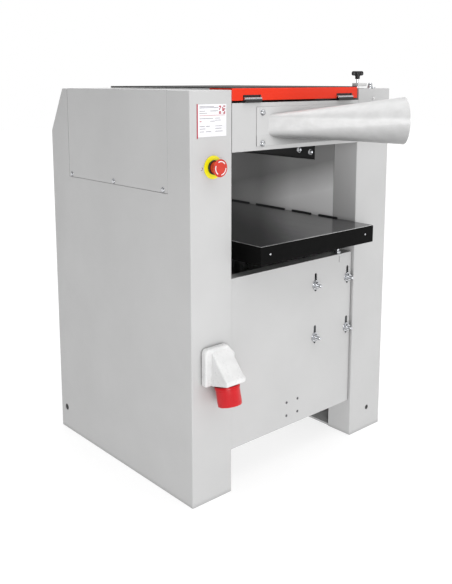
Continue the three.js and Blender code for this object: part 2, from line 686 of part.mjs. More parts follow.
// ---------- chip cover ----------
function addChipCover() {
  const [x, y, z] = [HOOD_X, HOOD_Y, HOOD_Z];
  const top = z[1] - SHEET;
  const notches = HINGES_X.map((span) => block(
    [span[0] - 1.5, span[1] + 1.5],
    [-1, SHEET + 1],
    [z[0] - 1, HINGE_Z + 10],
  ));
  const movingLeaves = HINGES_X.map(([low, high]) => {
    const third = (high - low) / 3;
    const knuckle = [low + third + 1, high - third - 1];
    return join(
      block([low + 4, high - 4], [SHEET - 0.5, SHEET + 2], [HINGE_Z + 3, top + 1]),
      block(knuckle, [HINGE_Y, SHEET + 1], [HINGE_Z + 1, HINGE_Z + 7]),
      bar('x', [HINGE_Y, HINGE_Z], knuckle, 4.2, 4.2, 16),
    );
  });
  add('chip_cover', join(
    cut(
      join(
        block(x, y, [top, z[1]]),
        block(x, [0, SHEET], [z[0], top + 1]),
        block(x, [y[1] - SHEET, y[1]], [z[0], top + 1]),
        block([x[0], x[0] + SHEET], y, [z[0], top + 1]),
        block([x[1] - SHEET, x[1]], y, [z[0], top + 1]),
      ),
      ...notches,
    ),
    ...movingLeaves,
  ), RED);
  HINGES_X.forEach(([low, high], i) => {
    const third = (high - low) / 3;
    const knuckles = [[low, low + third], [high - third, high]];
    add(`hinge_${i + 1}`, join(
      block([low, high], [-3, 26], [BEAM_TOP + GAP, BEAM_TOP + 3]),
      ...knuckles.flatMap((span) => [
        block(span, [HINGE_Y - 2, HINGE_Y + 2], [BEAM_TOP + 2, HINGE_Z]),
        bar('x', [HINGE_Y, HINGE_Z], span, 4.2, 4.2, 16),
      ]),
    ), ZINC);
  });
  add('clamp_plate', cut(
    block([622, 688], [0, 22], [z[1] + GAP, z[1] + 7.5]),
    bar('z', KNOB, [z[1] - 1, z[1] + 9], 3.6, 3.6, 16),
  ), ZINC);
  const lobes = starOutline(5, 18, 12, 6).map(([a, b]) => [KNOB[0] + a, KNOB[1] + b]);
  add('clamp_knob', join(
    prismZ(lobes, [1116.5, 1130]),
    bar('z', KNOB, [1107, 1117], 7, 7, 16),
    bar('z', KNOB, [HEIGHT + GAP, 1108], 3, 3, 12),
  ), BLACK);
}

// ---------- dust hood ----------
/** One ring of the hood's wall: share 0 is the flat rectangle on the beam, 1 is the round port. */
function dustRing(share, inset, count) {
  const across = new THREE.Vector3(-PORT_NORMAL.y, PORT_NORMAL.x, 0);
  const halfX = (DUST_BASE_X[1] - DUST_BASE_X[0]) / 2 - inset;
  const halfZ = (DUST_BASE_Z[1] - DUST_BASE_Z[0]) / 2 - inset;
  const middleX = (DUST_BASE_X[0] + DUST_BASE_X[1]) / 2;
  const middleZ = (DUST_BASE_Z[0] + DUST_BASE_Z[1]) / 2;
  const squareness = 0.35;
  const ring = [];
  for (let i = 0; i < count; i += 1) {
    const angle = (2 * Math.PI * i) / count;
    const [c, s] = [Math.cos(angle), Math.sin(angle)];
    const flat = new THREE.Vector3(
      middleX + halfX * Math.sign(c) * Math.abs(c) ** squareness,
      -1,
      middleZ + halfZ * Math.sign(s) * Math.abs(s) ** squareness,
    );
    const round = PORT_CENTRE.clone()
      .addScaledVector(across, (PORT_R - inset) * c)
      .addScaledVector(new THREE.Vector3(0, 0, 1), (PORT_R - inset) * s);
    ring.push(flat.lerp(round, share));
  }
  return ring;
}

/** A closed solid between a stack of rings with the same number of points. */
function loft(rings) {
  const count = rings[0].length;
  const positions = rings.flat().flatMap((point) => point.toArray());
  const index = [];
  for (let k = 0; k + 1 < rings.length; k += 1) {
    for (let i = 0; i < count; i += 1) {
      const a = k * count + i;
      const b = k * count + ((i + 1) % count);
      index.push(a, b, a + count, b, b + count, a + count);
    }
  }
  const last = (rings.length - 1) * count;
  for (let i = 1; i + 1 < count; i += 1) {
    index.push(0, i + 1, i);
    index.push(last, last + i, last + i + 1);
  }
  const geometry = new THREE.BufferGeometry();
  geometry.setAttribute('position', new THREE.Float32BufferAttribute(positions, 3));
  geometry.setIndex(index);
  return solid(geometry);
}

function addDustHood() {
  const count = 20;
  const shares = [0, 0.5, 1];
  const beyond = [-0.02, 0.5, 1.02];
  const outer = loft(shares.map((share) => dustRing(share, 0, count)));
  const inner = loft(beyond.map((share) => dustRing(share, DUST_WALL, count)));
  const plate = block([222, 612], [-2.3, -GAP], [933.5, 1035.4]);
  const behindBeam = block([200, 700], [-GAP, 30], [900, 1100]);
  add('dust_hood', cut(
    join(plate, outer),
    inner,
    behindBeam,
    ...HOOD_BOLTS_Z.map((z) => bar('y', [HOOD_BOLT_X, z], [-5, 5], 4.5, 4.5, 12)),
  ), WHITE);
}

// ---------- electrical parts ----------
function addEmergencyStop() {
  add('estop_plate', cut(
    bar('y', ESTOP, [-2, -GAP], 30, 30, 28),
    bar('y', ESTOP, [-5, 5], 9.5, 9.5, 20),
  ), YELLOW);
  add('estop_collar', cut(
    bar('y', ESTOP, [-14, -2 - GAP], 17, 17, 24),
    bar('y', ESTOP, [-20, 5], 8, 8, 20),
  ), BLACK);
  add('estop_button', join(
    bar('y', ESTOP, [-30, -20], 22.5, 15.5, 24),
    bar('y', ESTOP, [-21, 0], 7.2, 7.2, 20),
  ), SIGNAL_RED);
}

function addInlet() {
  add('inlet_housing', join(
    block([INLET_X - 50, INLET_X + 50], [-20, -GAP], [333, 430]),
    prismX([[-19, 333.2], [-80, 348], [-80, 359], [-68, 363], [-19, 421]], [INLET_X - 33, INLET_X + 33]),
  ), WHITE);
  const ring = new THREE.LatheGeometry([
    [0, 0], [33, 0], [33, 8], [31.5, 8], [31.5, 52], [26.5, 52], [26.5, 10], [0, 10], [0, 0],
  ].map(([r, h]) => new THREE.Vector2(r, h)), ROUND);
  ring.rotateX(-Math.PI / 2 - INLET_TILT);
  ring.translate(INLET_X, -42, 338.1);
  add('inlet_collar', solid(ring), SIGNAL_RED);
}

function addControls() {
  const y = [DEPTH + GAP, DEPTH + 30];
  add('control_box', cut(
    block([34, 102], y, [770, 850]),
    ...BUTTONS.map((centre) => bar('y', centre, [y[0] - 1, y[1] + 1], BUTTON_R + 0.5, BUTTON_R + 0.5, 20)),
  ), BLACK);
  add('start_button', bar('y', BUTTONS[0], [y[0], y[1] + 4], BUTTON_R, BUTTON_R, 20), GREEN);
  add('stop_button', bar('y', BUTTONS[1], [y[0], y[1] + 6], BUTTON_R, BUTTON_R, 20), SIGNAL_RED);
}

addLeftColumn();
addRightColumn();
addBases();
addBeams();
addLowerPanels();
addBaseTray();
addTable();
addLift();
addHandwheel();
addHead();
addDrive();
addChipCover();
addDustHood();
addEmergencyStop();
addInlet();
addControls();

const box = new THREE.Box3().setFromObject(group);
const middle = box.getCenter(new THREE.Vector3());
group.position.set(-middle.x, -middle.y, -box.min.z);
group.updateMatrixWorld(true);

export default group;
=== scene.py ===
"""A thickness planer in a pale studio: folded-sheet columns, red chip cover, dust hood and lifting table.

Places are in millimetres from the outfeed left corner of the left column, at the floor,
and at() turns them into metres in the frame's own coordinates.
"""
from math import atan2, copysign, cos, pi, radians, sin

import bmesh
import bpy
from mathutils import Matrix, Vector


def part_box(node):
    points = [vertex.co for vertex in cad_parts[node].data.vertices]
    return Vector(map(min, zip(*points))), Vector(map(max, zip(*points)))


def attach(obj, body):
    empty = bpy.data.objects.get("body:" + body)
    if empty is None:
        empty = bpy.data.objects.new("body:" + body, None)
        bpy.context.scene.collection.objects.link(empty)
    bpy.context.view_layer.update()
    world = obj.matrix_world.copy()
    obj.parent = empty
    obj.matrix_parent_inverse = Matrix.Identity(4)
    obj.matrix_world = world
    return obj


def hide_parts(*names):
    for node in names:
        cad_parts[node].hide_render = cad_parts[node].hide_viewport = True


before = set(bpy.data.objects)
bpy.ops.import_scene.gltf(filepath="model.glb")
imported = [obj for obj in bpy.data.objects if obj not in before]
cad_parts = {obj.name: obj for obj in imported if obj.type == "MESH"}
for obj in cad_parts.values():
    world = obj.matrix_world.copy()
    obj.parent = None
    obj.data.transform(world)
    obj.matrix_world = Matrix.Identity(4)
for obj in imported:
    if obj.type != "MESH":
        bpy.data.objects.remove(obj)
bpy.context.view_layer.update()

# ---------- places ----------
MM = 0.001
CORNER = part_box("left_column")[0]


def at(x, y, z):
    """A place on the machine, in metres in the frame."""
    return Vector((CORNER.x + x * MM, CORNER.y + y * MM, z * MM))


def node_box(node):
    """A CAD node's lowest and highest corner, in millimetres on the machine."""
    low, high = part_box(node)
    shift = Vector((CORNER.x, CORNER.y, 0))
    return (low - shift) / MM, (high - shift) / MM


WIDTH = node_box("right_column")[1].x
DEPTH = node_box("left_column")[1].y
HEIGHT = node_box("left_column")[1].z
LEFT_COLUMN_X = node_box("left_column")[1].x
RIGHT_COLUMN_X = node_box("right_column")[0].x
SHEET = 3.0
BEND = 3.2
RETURN_DEPTH = 88.0
CHAMFER_Y = 601.0
CHAMFER_Z = 953.0
TABLE_LOW, TABLE_HIGH = node_box("table")
COVER_LOW, COVER_HIGH = node_box("chip_cover")
PANEL_Y = node_box("motor_panel")[0].y
ESTOP = (72.7, 891.0)
KNOB = (639.0, 10.0)
HINGE_Y = -2.0
HINGE_Z = 1057.0
HINGES_X = ((175.0, 236.0), (537.0, 603.0))
MOTOR_BOLTS = tuple((x, z) for x in (474.0, 616.0) for z in (357.5, 515.5))
TENSION = (582.0, 21.0)
START_X = 54.0
STOP_X = 82.0
BUTTONS_Z = 810.0
SELECTOR = (94.0, 925.0)
GEARBOX_SPROCKET = (320.0, 880.0)
LIFT_SHAFT_X = 708.7
HANDWHEEL_Y = 704.0
HANDWHEEL_Z = 700.0
HANDWHEEL_R = 60.0
CUTTER = (320.0, 961.0)
INFEED = (425.0, 947.0)
OUTFEED = (215.0, 947.0)
ROLL_X = (175.0, 629.0)
FINGERS = (515.0, 972.0)

X_AXIS = Vector((1, 0, 0))
Y_AXIS = Vector((0, 1, 0))
Z_AXIS = Vector((0, 0, 1))

scene = bpy.context.scene


# ---------- materials ----------
def material(name, colour, roughness, metallic=0.0, **sockets):
    """A Principled material with its constant values on the shader's own sockets."""
    made = bpy.data.materials.new(name)
    made.use_nodes = True
    shader = made.node_tree.nodes["Principled BSDF"]
    shader.inputs["Base Color"].default_value = (*colour, 1)
    shader.inputs["Roughness"].default_value = roughness
    shader.inputs["Metallic"].default_value = metallic
    for socket, value in sockets.items():
        shader.inputs[socket.replace("_", " ")].default_value = value
    return made, made.node_tree, shader


def add_node(tree, kind, **values):
    node = tree.nodes.new(kind)
    for key, value in values.items():
        if key in node.inputs:
            node.inputs[key].default_value = value
        else:
            setattr(node, key, value)
    return node


def object_coordinates(tree, scale=(1, 1, 1)):
    """Object coordinates in metres, stretched by scale."""
    coordinates = add_node(tree, "ShaderNodeTexCoord")
    mapping = add_node(tree, "ShaderNodeMapping")
    mapping.inputs["Scale"].default_value = scale
    tree.links.new(coordinates.outputs["Object"], mapping.inputs["Vector"])
    return mapping.outputs["Vector"]


def noise(tree, vector, scale, detail=4.0, roughness=0.55):
    node = add_node(tree, "ShaderNodeTexNoise", Scale=scale, Detail=detail, Roughness=roughness)
    tree.links.new(vector, node.inputs["Vector"])
    return node.outputs["Fac"]


def spread(tree, value, low, high, from_low=0.3, from_high=0.7):
    """Maps a noise value onto low..high."""
    node = add_node(tree, "ShaderNodeMapRange")
    node.inputs["From Min"].default_value = from_low
    node.inputs["From Max"].default_value = from_high
    node.inputs["To Min"].default_value = low
    node.inputs["To Max"].default_value = high
    tree.links.new(value, node.inputs["Value"])
    return node.outputs["Result"]


def two_tones(tree, value, first, second, low=0.3, high=0.7):
    ramp = add_node(tree, "ShaderNodeValToRGB")
    ramp.color_ramp.elements[0].position = low
    ramp.color_ramp.elements[0].color = (*first, 1)
    ramp.color_ramp.elements[1].position = high
    ramp.color_ramp.elements[1].color = (*second, 1)
    tree.links.new(value, ramp.inputs["Fac"])
    return ramp.outputs["Color"]


def bump(tree, shader, height, strength, distance):
    node = add_node(tree, "ShaderNodeBump", Strength=strength, Distance=distance)
    tree.links.new(height, node.inputs["Height"])
    tree.links.new(node.outputs["Normal"], shader.inputs["Normal"])


def part_of(tree, output, axis):
    """One axis of the surface's place or of its normal."""
    parts = add_node(tree, "ShaderNodeSeparateXYZ")
    tree.links.new(add_node(tree, "ShaderNodeNewGeometry").outputs[output], parts.inputs[0])
    return parts.outputs[axis]


def calculate(tree, operation, first, second):
    """A maths node on two values, each a socket or a number."""
    node = add_node(tree, "ShaderNodeMath", operation=operation)
    for socket, value in zip(node.inputs, (first, second)):
        if isinstance(value, (int, float)):
            socket.default_value = value
        else:
            tree.links.new(value, socket)
    return node.outputs[0]


def tinted(tree, colour, factor):
    """A colour multiplied by a value."""
    node = add_node(tree, "ShaderNodeMix", data_type="RGBA", blend_type="MULTIPLY")
    node.inputs["Factor"].default_value = 1.0
    if isinstance(colour, tuple):
        node.inputs[6].default_value = (*colour, 1)
    else:
        tree.links.new(colour, node.inputs[6])
    tree.links.new(factor, node.inputs[7])
    return node.outputs[2]


def shade(colour, factor):
    return tuple(channel * factor for channel in colour)


def paint_corner_shade(tree, shader, colour, distance, floor_value, closed_at=0.1, open_at=0.75, above=None):
    """Painted shade in seams and under overhangs: colour falls towards floor_value where closed in.

    With above, only what lies below that height in metres is shaded.
    """
    closed = add_node(tree, "ShaderNodeAmbientOcclusion", Distance=distance)
    closed.samples = 8
    factor = spread(tree, closed.outputs["AO"], floor_value, 1.0, closed_at, open_at)
    if above:
        lifted = spread(tree, part_of(tree, "Position", "Z"), 0.0, 1.0, above - 0.012, above)
        factor = calculate(tree, "MAXIMUM", factor, lifted)
    tree.links.new(tinted(tree, colour, factor), shader.inputs["Base Color"])


def paint(name, colour, roughness, peel=700.0, peel_depth=0.00006, vary=0.03, coat=0.0, corners=1.0,
          reach=0.03):
    """Sprayed or powder-coated paint: orange peel, slight cloudiness, uneven gloss.

    Corners is how dark the painted shade gets where it is closed in, within reach in metres.
    """
    made, tree, shader = material(name, colour, roughness, Coat_Weight=coat, Coat_Roughness=0.12)
    vector = object_coordinates(tree)
    clouds = noise(tree, vector, 5.0, 3.0)
    cloudy = two_tones(tree, clouds, shade(colour, 1 - vary), shade(colour, 1 + vary))
    paint_corner_shade(tree, shader, cloudy, reach, corners)
    grain = noise(tree, vector, peel, 3.0)
    tree.links.new(spread(tree, noise(tree, vector, 60.0), roughness - 0.05, roughness + 0.06),
                   shader.inputs["Roughness"])
    bump(tree, shader, grain, 0.35, peel_depth)
    return made


def shaded_wall_paint(name, colour, y_span, z_span):
    """The passage wall's gloss paint with painted shade: darker along a diagonal towards the rear and the
    top, lighter at the table.
    """
    made, tree, shader = material(name, colour, 0.42)
    y, z = part_of(tree, "Position", "Y"), part_of(tree, "Position", "Z")
    clouds = noise(tree, object_coordinates(tree), 7.0, 3.0)
    # Painted shade: the colour falls along a diagonal slope of height and depth, with a little noise in its
    # edge.
    slope = calculate(tree, "ADD", z, calculate(tree, "MULTIPLY", y, 0.25))
    slope = calculate(tree, "ADD", slope, calculate(tree, "MULTIPLY", clouds, 0.02))
    rear = spread(tree, y, 1.0, 0.50, *y_span)
    factor = calculate(tree, "MULTIPLY", spread(tree, slope, 1.0, 0.34, *z_span), rear)
    paint_corner_shade(tree, shader, tinted(tree, colour, factor), 0.03, 0.4)
    tree.links.new(spread(tree, clouds, 0.36, 0.5), shader.inputs["Roughness"])
    bump(tree, shader, noise(tree, object_coordinates(tree), 700.0, 3.0), 0.35, 0.00006)
    return made


def plate_paint(name, colour, height):
    """The dust hood's plate: grey like the cabinet, shaded where the hood overhangs it."""
    made, tree, shader = material(name, colour, 0.42)
    vector = object_coordinates(tree)
    cloudy = two_tones(tree, noise(tree, vector, 5.0, 3.0), shade(colour, 0.97), shade(colour, 1.03))
    paint_corner_shade(tree, shader, cloudy, 0.06, 0.16, 0.45, 0.92, height)
    bump(tree, shader, noise(tree, vector, 700.0, 3.0), 0.35, 0.00006)
    return made


def hood_paint(name, colour):
    """Gloss paint over rolled sheet: faint bands run along the hood as bumps and as painted facet shading in
    the colour, and the underside gets painted shade.
    """
    made, tree, shader = material(name, colour, 0.36, Coat_Weight=0.1, Coat_Roughness=0.2)
    vector = object_coordinates(tree, (0.35, 30.0, 30.0))
    vector.node.inputs["Rotation"].default_value = (0, 0, atan2(221.0, 116.0))
    bands = noise(tree, vector, 1.6, 2.0, 0.5)
    # Painted shade: faces turned down are darkened to 0.42 of the colour.
    under_shade = spread(tree, part_of(tree, "Normal", "Z"), 0.42, 1.0, -0.95, 0.05)
    factor = calculate(tree, "MULTIPLY", under_shade, spread(tree, bands, 0.93, 1.03))
    paint_corner_shade(tree, shader, tinted(tree, colour, factor), 0.03, 0.3)
    bump(tree, shader, bands, 0.35, 0.0035)
    return made


def moulded(name, colour, roughness, grain=1400.0, depth=0.00004):
    """Moulded plastic: fine spark-eroded grain and slightly uneven gloss."""
    made, tree, shader = material(name, colour, roughness)
    vector = object_coordinates(tree)
    tree.links.new(two_tones(tree, noise(tree, vector, 30.0), shade(colour, 0.93), shade(colour, 1.06)),
                   shader.inputs["Base Color"])
    tree.links.new(spread(tree, noise(tree, vector, 140.0), roughness - 0.06, roughness + 0.08),
                   shader.inputs["Roughness"])
    bump(tree, shader, noise(tree, vector, grain, 2.0), 0.4, depth)
    return made


def metal(name, colour, roughness, stretch=(1, 1, 1), scale=400.0, depth=0.00003, under_shade=1.0):
    """Turned, ground or plated metal, with tool marks drawn out along the small stretch axis.

    The under value sets painted shade on the downward faces: how dark they are made.
    """
    made, tree, shader = material(name, colour, roughness, 1.0)
    marks = noise(tree, object_coordinates(tree, stretch), scale, 5.0, 0.6)
    marked = two_tones(tree, marks, shade(colour, 0.82), shade(colour, 1.1))
    shaded_below = spread(tree, part_of(tree, "Normal", "Z"), under_shade, 1.0, -0.75, -0.05)
    tree.links.new(tinted(tree, marked, shaded_below), shader.inputs["Base Color"])
    tree.links.new(spread(tree, marks, roughness - 0.08, roughness + 0.12), shader.inputs["Roughness"])
    bump(tree, shader, marks, 0.3, depth)
    return made


def casting(name, colour, roughness=0.55):
    """Painted iron casting: sand texture under the paint."""
    made, tree, shader = material(name, colour, roughness)
    vector = object_coordinates(tree)
    sand = noise(tree, vector, 260.0, 6.0, 0.65)
    tree.links.new(two_tones(tree, sand, shade(colour, 0.7), shade(colour, 1.5)),
                   shader.inputs["Base Color"])
    tree.links.new(spread(tree, sand, roughness - 0.1, roughness + 0.15), shader.inputs["Roughness"])
    bump(tree, shader, sand, 0.6, 0.0003)
    return made


def ground_iron(name):
    """The table's ground top: dark, glossy, with long grinding lines along the feed direction."""
    colour = (0.125, 0.125, 0.129)
    made, tree, shader = material(name, colour, 0.2, 0.85)
    lines = noise(tree, object_coordinates(tree, (1, 0.008, 1)), 1500.0, 5.0, 0.6)
    broad = noise(tree, object_coordinates(tree, (1, 0.05, 1)), 38.0, 3.0)
    mixed = calculate(tree, "ADD", calculate(tree, "MULTIPLY", lines, 0.6),
                      calculate(tree, "MULTIPLY", broad, 0.4))
    tree.links.new(two_tones(tree, mixed, shade(colour, 0.9), shade(colour, 1.1)),
                   shader.inputs["Base Color"])
    tree.links.new(spread(tree, mixed, 0.12, 0.24), shader.inputs["Roughness"])
    bump(tree, shader, lines, 0.2, 0.00001)
    return made


def rubber(name, colour=(0.02, 0.02, 0.02)):
    made, tree, shader = material(name, colour, 0.72)
    vector = object_coordinates(tree)
    dust = noise(tree, vector, 90.0, 6.0)
    tree.links.new(two_tones(tree, dust, colour, shade(colour, 2.4), 0.45, 0.8), shader.inputs["Base Color"])
    tree.links.new(spread(tree, dust, 0.62, 0.85), shader.inputs["Roughness"])
    bump(tree, shader, noise(tree, vector, 900.0), 0.4, 0.00008)
    return made


# The cabinet grey and the panel carry painted shade where closed in; the panel's reaches 0.1 m, under the
# table and beside the columns.
GREY = paint("grey_powder_coat", (0.505, 0.505, 0.505), 0.46, coat=0.05, corners=0.35)
PANEL = paint("panel_powder_coat", (0.505, 0.505, 0.505), 0.46, coat=0.05, corners=0.3, reach=0.1)
SHADED_WALL = shaded_wall_paint("passage_wall_painted_shade", (0.93, 0.93, 0.93), (0.02, 0.16), (0.745, 0.835))
PLATE = plate_paint("hood_plate_paint", (0.53, 0.53, 0.53), 0.965)
WHITE = hood_paint("white_gloss_paint", (0.57, 0.57, 0.57))
RED = paint("red_powder_coat", (0.70, 0.026, 0.004), 0.4, 700.0, 0.00005, 0.04, 0.04)
RED.node_tree.nodes["Principled BSDF"].inputs["Specular IOR Level"].default_value = 0.25
BLACK_COAT = paint("black_coat", (0.012, 0.012, 0.012), 0.5, 900.0, 0.00008, 0.15)
APRON = paint("apron_black", (0.0025, 0.0025, 0.0025), 0.55, 400.0, 0.00012, 0.2)
APRON.node_tree.nodes["Principled BSDF"].inputs["Specular IOR Level"].default_value = 0.06
MOTOR_PAINT = paint("motor_enamel", (0.035, 0.04, 0.045), 0.4, 500.0, 0.0001, 0.1)
CAST = casting("black_casting", (0.014, 0.014, 0.015))
GREY_CAST = casting("iron_casting", (0.10, 0.10, 0.105), 0.5)
TABLE_IRON = ground_iron("ground_table_top")
EDGE_STEEL = metal("bright_chamfer", (0.72, 0.72, 0.72), 0.25, (1, 0.1, 1))
STEEL = metal("turned_steel", (0.60, 0.60, 0.61), 0.3, (0.2, 1, 1))
# Zinc parts get strong painted shade on their downward faces.
ZINC = metal("zinc_plate", (0.60, 0.61, 0.63), 0.2, (1, 1, 1), 250.0, under_shade=0.2)
KNIFE = metal("knife_steel", (0.78, 0.79, 0.80), 0.18, (0.05, 1, 1), 900.0)
CHAIN = metal("oiled_chain", (0.16, 0.15, 0.14), 0.42, (1, 1, 1), 300.0, 0.0001)
BLACK = moulded("black_plastic", (0.012, 0.012, 0.013), 0.42)
SIGNAL_RED = moulded("signal_red_plastic", (0.54, 0.007, 0.012), 0.32, 1800.0, 0.00002)
SIGNAL_RED.node_tree.nodes["Principled BSDF"].inputs["Specular IOR Level"].default_value = 0.3
ESTOP_RED = moulded("estop_red_plastic", (0.55, 0.028, 0.013), 0.36, 1800.0, 0.00002)
YELLOW = moulded("yellow_plastic", (0.82, 0.76, 0.006), 0.35, 1500.0, 0.00002)
GREEN = moulded("green_plastic", (0.02, 0.33, 0.09), 0.3)
WHITE_PLASTIC = moulded("white_plastic", (0.69, 0.69, 0.69), 0.3, 1500.0, 0.00002)
PRINT_WHITE = moulded("print_white", (0.76, 0.76, 0.78), 0.4)
PRINT_RED = moulded("print_red", (0.42, 0.015, 0.04), 0.4)
PRINT_GREY = moulded("print_grey", (0.24, 0.22, 0.26), 0.5)
RUBBER = rubber("black_rubber")
SLOTS = {
    ZINC.name: "zinc_plate", STEEL.name: "bright_steel", BLACK.name: "black_plastic",
    GREY.name: "grey_paint", WHITE.name: "white_paint", SIGNAL_RED.name: "red_plastic",
    ESTOP_RED.name: "red_plastic", YELLOW.name: "yellow_plastic", WHITE_PLASTIC.name: "white_plastic",
    PRINT_WHITE.name: "white_plastic", PRINT_RED.name: "red_plastic", PRINT_GREY.name: "black_plastic",
    BLACK_COAT.name: "black_plastic", CAST.name: "cast_iron_black", RUBBER.name: "black_rubber",
}


# ---------- mesh helpers ----------
def smooth(mesh, angle=35.0):
    mesh.polygons.foreach_set("use_smooth", [True] * len(mesh.polygons))
    mesh.set_sharp_from_angle(angle=radians(angle))


def soften(obj, width, segments=3, angle=32.0):
    """Rounds an object's hard edges by a bevel of width millimetres."""
    modifier = obj.modifiers.new("edges", "BEVEL")
    modifier.width = width * MM
    modifier.segments = segments
    modifier.limit_method = "ANGLE"
    modifier.angle_limit = radians(angle)
    modifier.harden_normals = True
    return obj


def bake(obj):
    """Applies an object's modifiers to its mesh."""
    bpy.context.view_layer.update()
    graph = bpy.context.evaluated_depsgraph_get()
    mesh = bpy.data.meshes.new_from_object(obj.evaluated_get(graph))
    obj.modifiers.clear()
    obj.data = mesh
    return obj


def loose(name, bm, materials):
    """An object from a bmesh, with no body and no slot yet."""
    bmesh.ops.recalc_face_normals(bm, faces=bm.faces)
    mesh = bpy.data.meshes.new(name)
    bm.to_mesh(mesh)
    bm.free()
    for item in materials if isinstance(materials, (list, tuple)) else [materials]:
        mesh.materials.append(item)
    obj = bpy.data.objects.new(name, mesh)
    scene.collection.objects.link(obj)
    return obj


def finish(obj, body, stands_for=(), bevel=0.0, segments=3, angle=35.0):
    """Smooth shading, rounded edges, the piece's body and the CAD nodes it stands for."""
    smooth(obj.data, angle)
    if bevel:
        soften(obj, bevel, segments)
    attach(obj, body)
    if stands_for:
        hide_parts(*stands_for)
    return obj


def piece(name, bm, materials, body="cabinet", slot=None, stands_for=(), bevel=0.0, segments=3, angle=35.0):
    """A finished piece made from a bmesh; its slot is looked up, from its first material unless given, but
    not used.
    """
    obj = loose(name, bm, materials)
    slot = slot or SLOTS[obj.data.materials[0].name]
    return finish(obj, body, stands_for, bevel, segments, angle)


def bridge(bm, rings, index=0):
    """Quads from each ring of vertices to the next."""
    for first, second in zip(rings, rings[1:]):
        for i in range(len(first)):
            j = (i + 1) % len(first)
            bm.faces.new((first[i], first[j], second[j], second[i])).material_index = index


def add_stack(bm, rings, index=0):
    """A solid through a stack of rings of places, closed at both ends."""
    made = [[bm.verts.new(place) for place in ring] for ring in rings]
    bm.faces.new(list(reversed(made[0]))).material_index = index
    bm.faces.new(made[-1]).material_index = index
    bridge(bm, made, index)
    return bm


def fill_box(bm, corners, index=0):
    """A box from its eight corners, listed by nested loops over its three directions."""
    verts = [bm.verts.new(corner) for corner in corners]
    for order in ((0, 1, 3, 2), (4, 6, 7, 5), (0, 4, 5, 1), (2, 3, 7, 6), (0, 2, 6, 4), (1, 5, 7, 3)):
        bm.faces.new([verts[i] for i in order]).material_index = index
    return bm


def add_box(bm, low, high, index=0):
    """A box between two corners, in millimetres on the machine."""
    xs, ys, zs = zip(low, high)
    return fill_box(bm, [at(x, y, z) for x in xs for y in ys for z in zs], index)


def add_turned(bm, profile, place, axis, steps=48, index=0):
    """A turned shape: profile is (distance along axis, radius) in millimetres, closed on the axis."""
    turn = axis.to_track_quat("Z", "X").to_matrix()
    rings = []
    for along, radius in profile:
        if radius <= 1e-6:
            rings.append([bm.verts.new(place + turn @ Vector((0, 0, along)) * MM)])
            continue
        ring = []
        for i in range(steps):
            angle = 2 * pi * i / steps
            local = Vector((radius * cos(angle), radius * sin(angle), along))
            ring.append(bm.verts.new(place + turn @ local * MM))
        rings.append(ring)
    for first, second in zip(rings, rings[1:]):
        for i in range(steps):
            j = (i + 1) % steps
            if len(first) == 1 and len(second) == 1:
                continue
            if len(first) == 1:
                face = (first[0], second[i], second[j])
            elif len(second) == 1:
                face = (first[i], second[0], first[j])
            else:
                face = (first[i], second[i], second[j], first[j])
            bm.faces.new(face).material_index = index
    return bm


def add_rod(bm, span, radius, place, axis, steps=32, index=0):
    """A plain round bar between two distances along its axis."""
    profile = [(span[0], 0), (span[0], radius), (span[1], radius), (span[1], 0)]
    return add_turned(bm, profile, place, axis, steps, index)


def ring_profile(inner, outer, start, end, edge=0.4):
    """A closed tube section with small chamfers, for add_tube."""
    return [(start, inner + edge), (start, outer - edge), (start + edge, outer), (end - edge, outer),
            (end, outer - edge), (end, inner + edge), (end - edge, inner), (start + edge, inner)]


def add_tube(bm, profile, place, axis, steps=48, index=0):
    """A turned ring: profile is a closed loop of (along, radius) that stays off the axis."""
    return add_turned(bm, [*profile, profile[0]], place, axis, steps, index)


def merged(bm, distance=0.005):
    bmesh.ops.remove_doubles(bm, verts=bm.verts, dist=distance * MM)
    return bm


def add_prism(bm, outline, place, axis, length, index=0, up=None):
    """An outline of (a, b) millimetres, extruded along axis from place."""
    side = (up or Z_AXIS).cross(axis).normalized()
    top = axis.cross(side).normalized()
    return add_stack(bm, [
        [place + (side * a + top * b + axis * along) * MM for a, b in outline] for along in (0, length)
    ], index)


def add_nut(bm, place, axis, radius, thickness, index=0):
    """A hexagon nut with its corners chamfered on both faces."""
    side = Z_AXIS.cross(axis)
    if side.length < 0.1:
        side = X_AXIS
    side = side.normalized()
    top = axis.cross(side).normalized()
    steps = 36
    flat = radius * cos(radians(30))

    def ring(along, cap):
        points = []
        for i in range(steps):
            angle = 2 * pi * i / steps
            inside = (angle + radians(30)) % radians(60) - radians(30)
            reach = min(flat / cos(inside), cap)
            across = side * (reach * cos(angle)) + top * (reach * sin(angle))
            points.append(place + (across + axis * along) * MM)
        return points

    levels = ((0, flat), (thickness * 0.1, radius), (thickness * 0.88, radius), (thickness, flat * 0.97))
    return add_stack(bm, [ring(along, cap) for along, cap in levels], index)


def add_dome(bm, place, axis, radius, height, steps=40, index=0):
    """A pan head: a low dome with a rounded rim."""
    profile = [(0, 0), (0, radius * 0.96), (height * 0.18, radius)]
    for i in range(1, 8):
        angle = radians(90 * i / 8)
        profile.append((height * (0.25 + 0.75 * sin(angle)), radius * cos(angle * 0.98) ** 0.6))
    profile.append((height, 0))
    return add_turned(bm, profile, place, axis, steps, index)


def cut_with(obj, *cutters):
    """Cuts loose cutter objects out of obj and deletes them."""
    for i, cutter in enumerate(cutters):
        modifier = obj.modifiers.new(f"cut_{i}", "BOOLEAN")
        modifier.operation = "DIFFERENCE"
        modifier.solver = "EXACT"
        modifier.object = cutter
    bake(obj)
    for cutter in cutters:
        bpy.data.objects.remove(cutter)
    return obj


def box_cutter(low, high):
    return loose("cutter", add_box(bmesh.new(), low, high), GREY)


def round_cutter(place, axis, radius, length, steps=48):
    bm = add_rod(bmesh.new(), (-length / 2, length / 2), radius, place, axis, steps)
    return loose("cutter", bm, GREY)


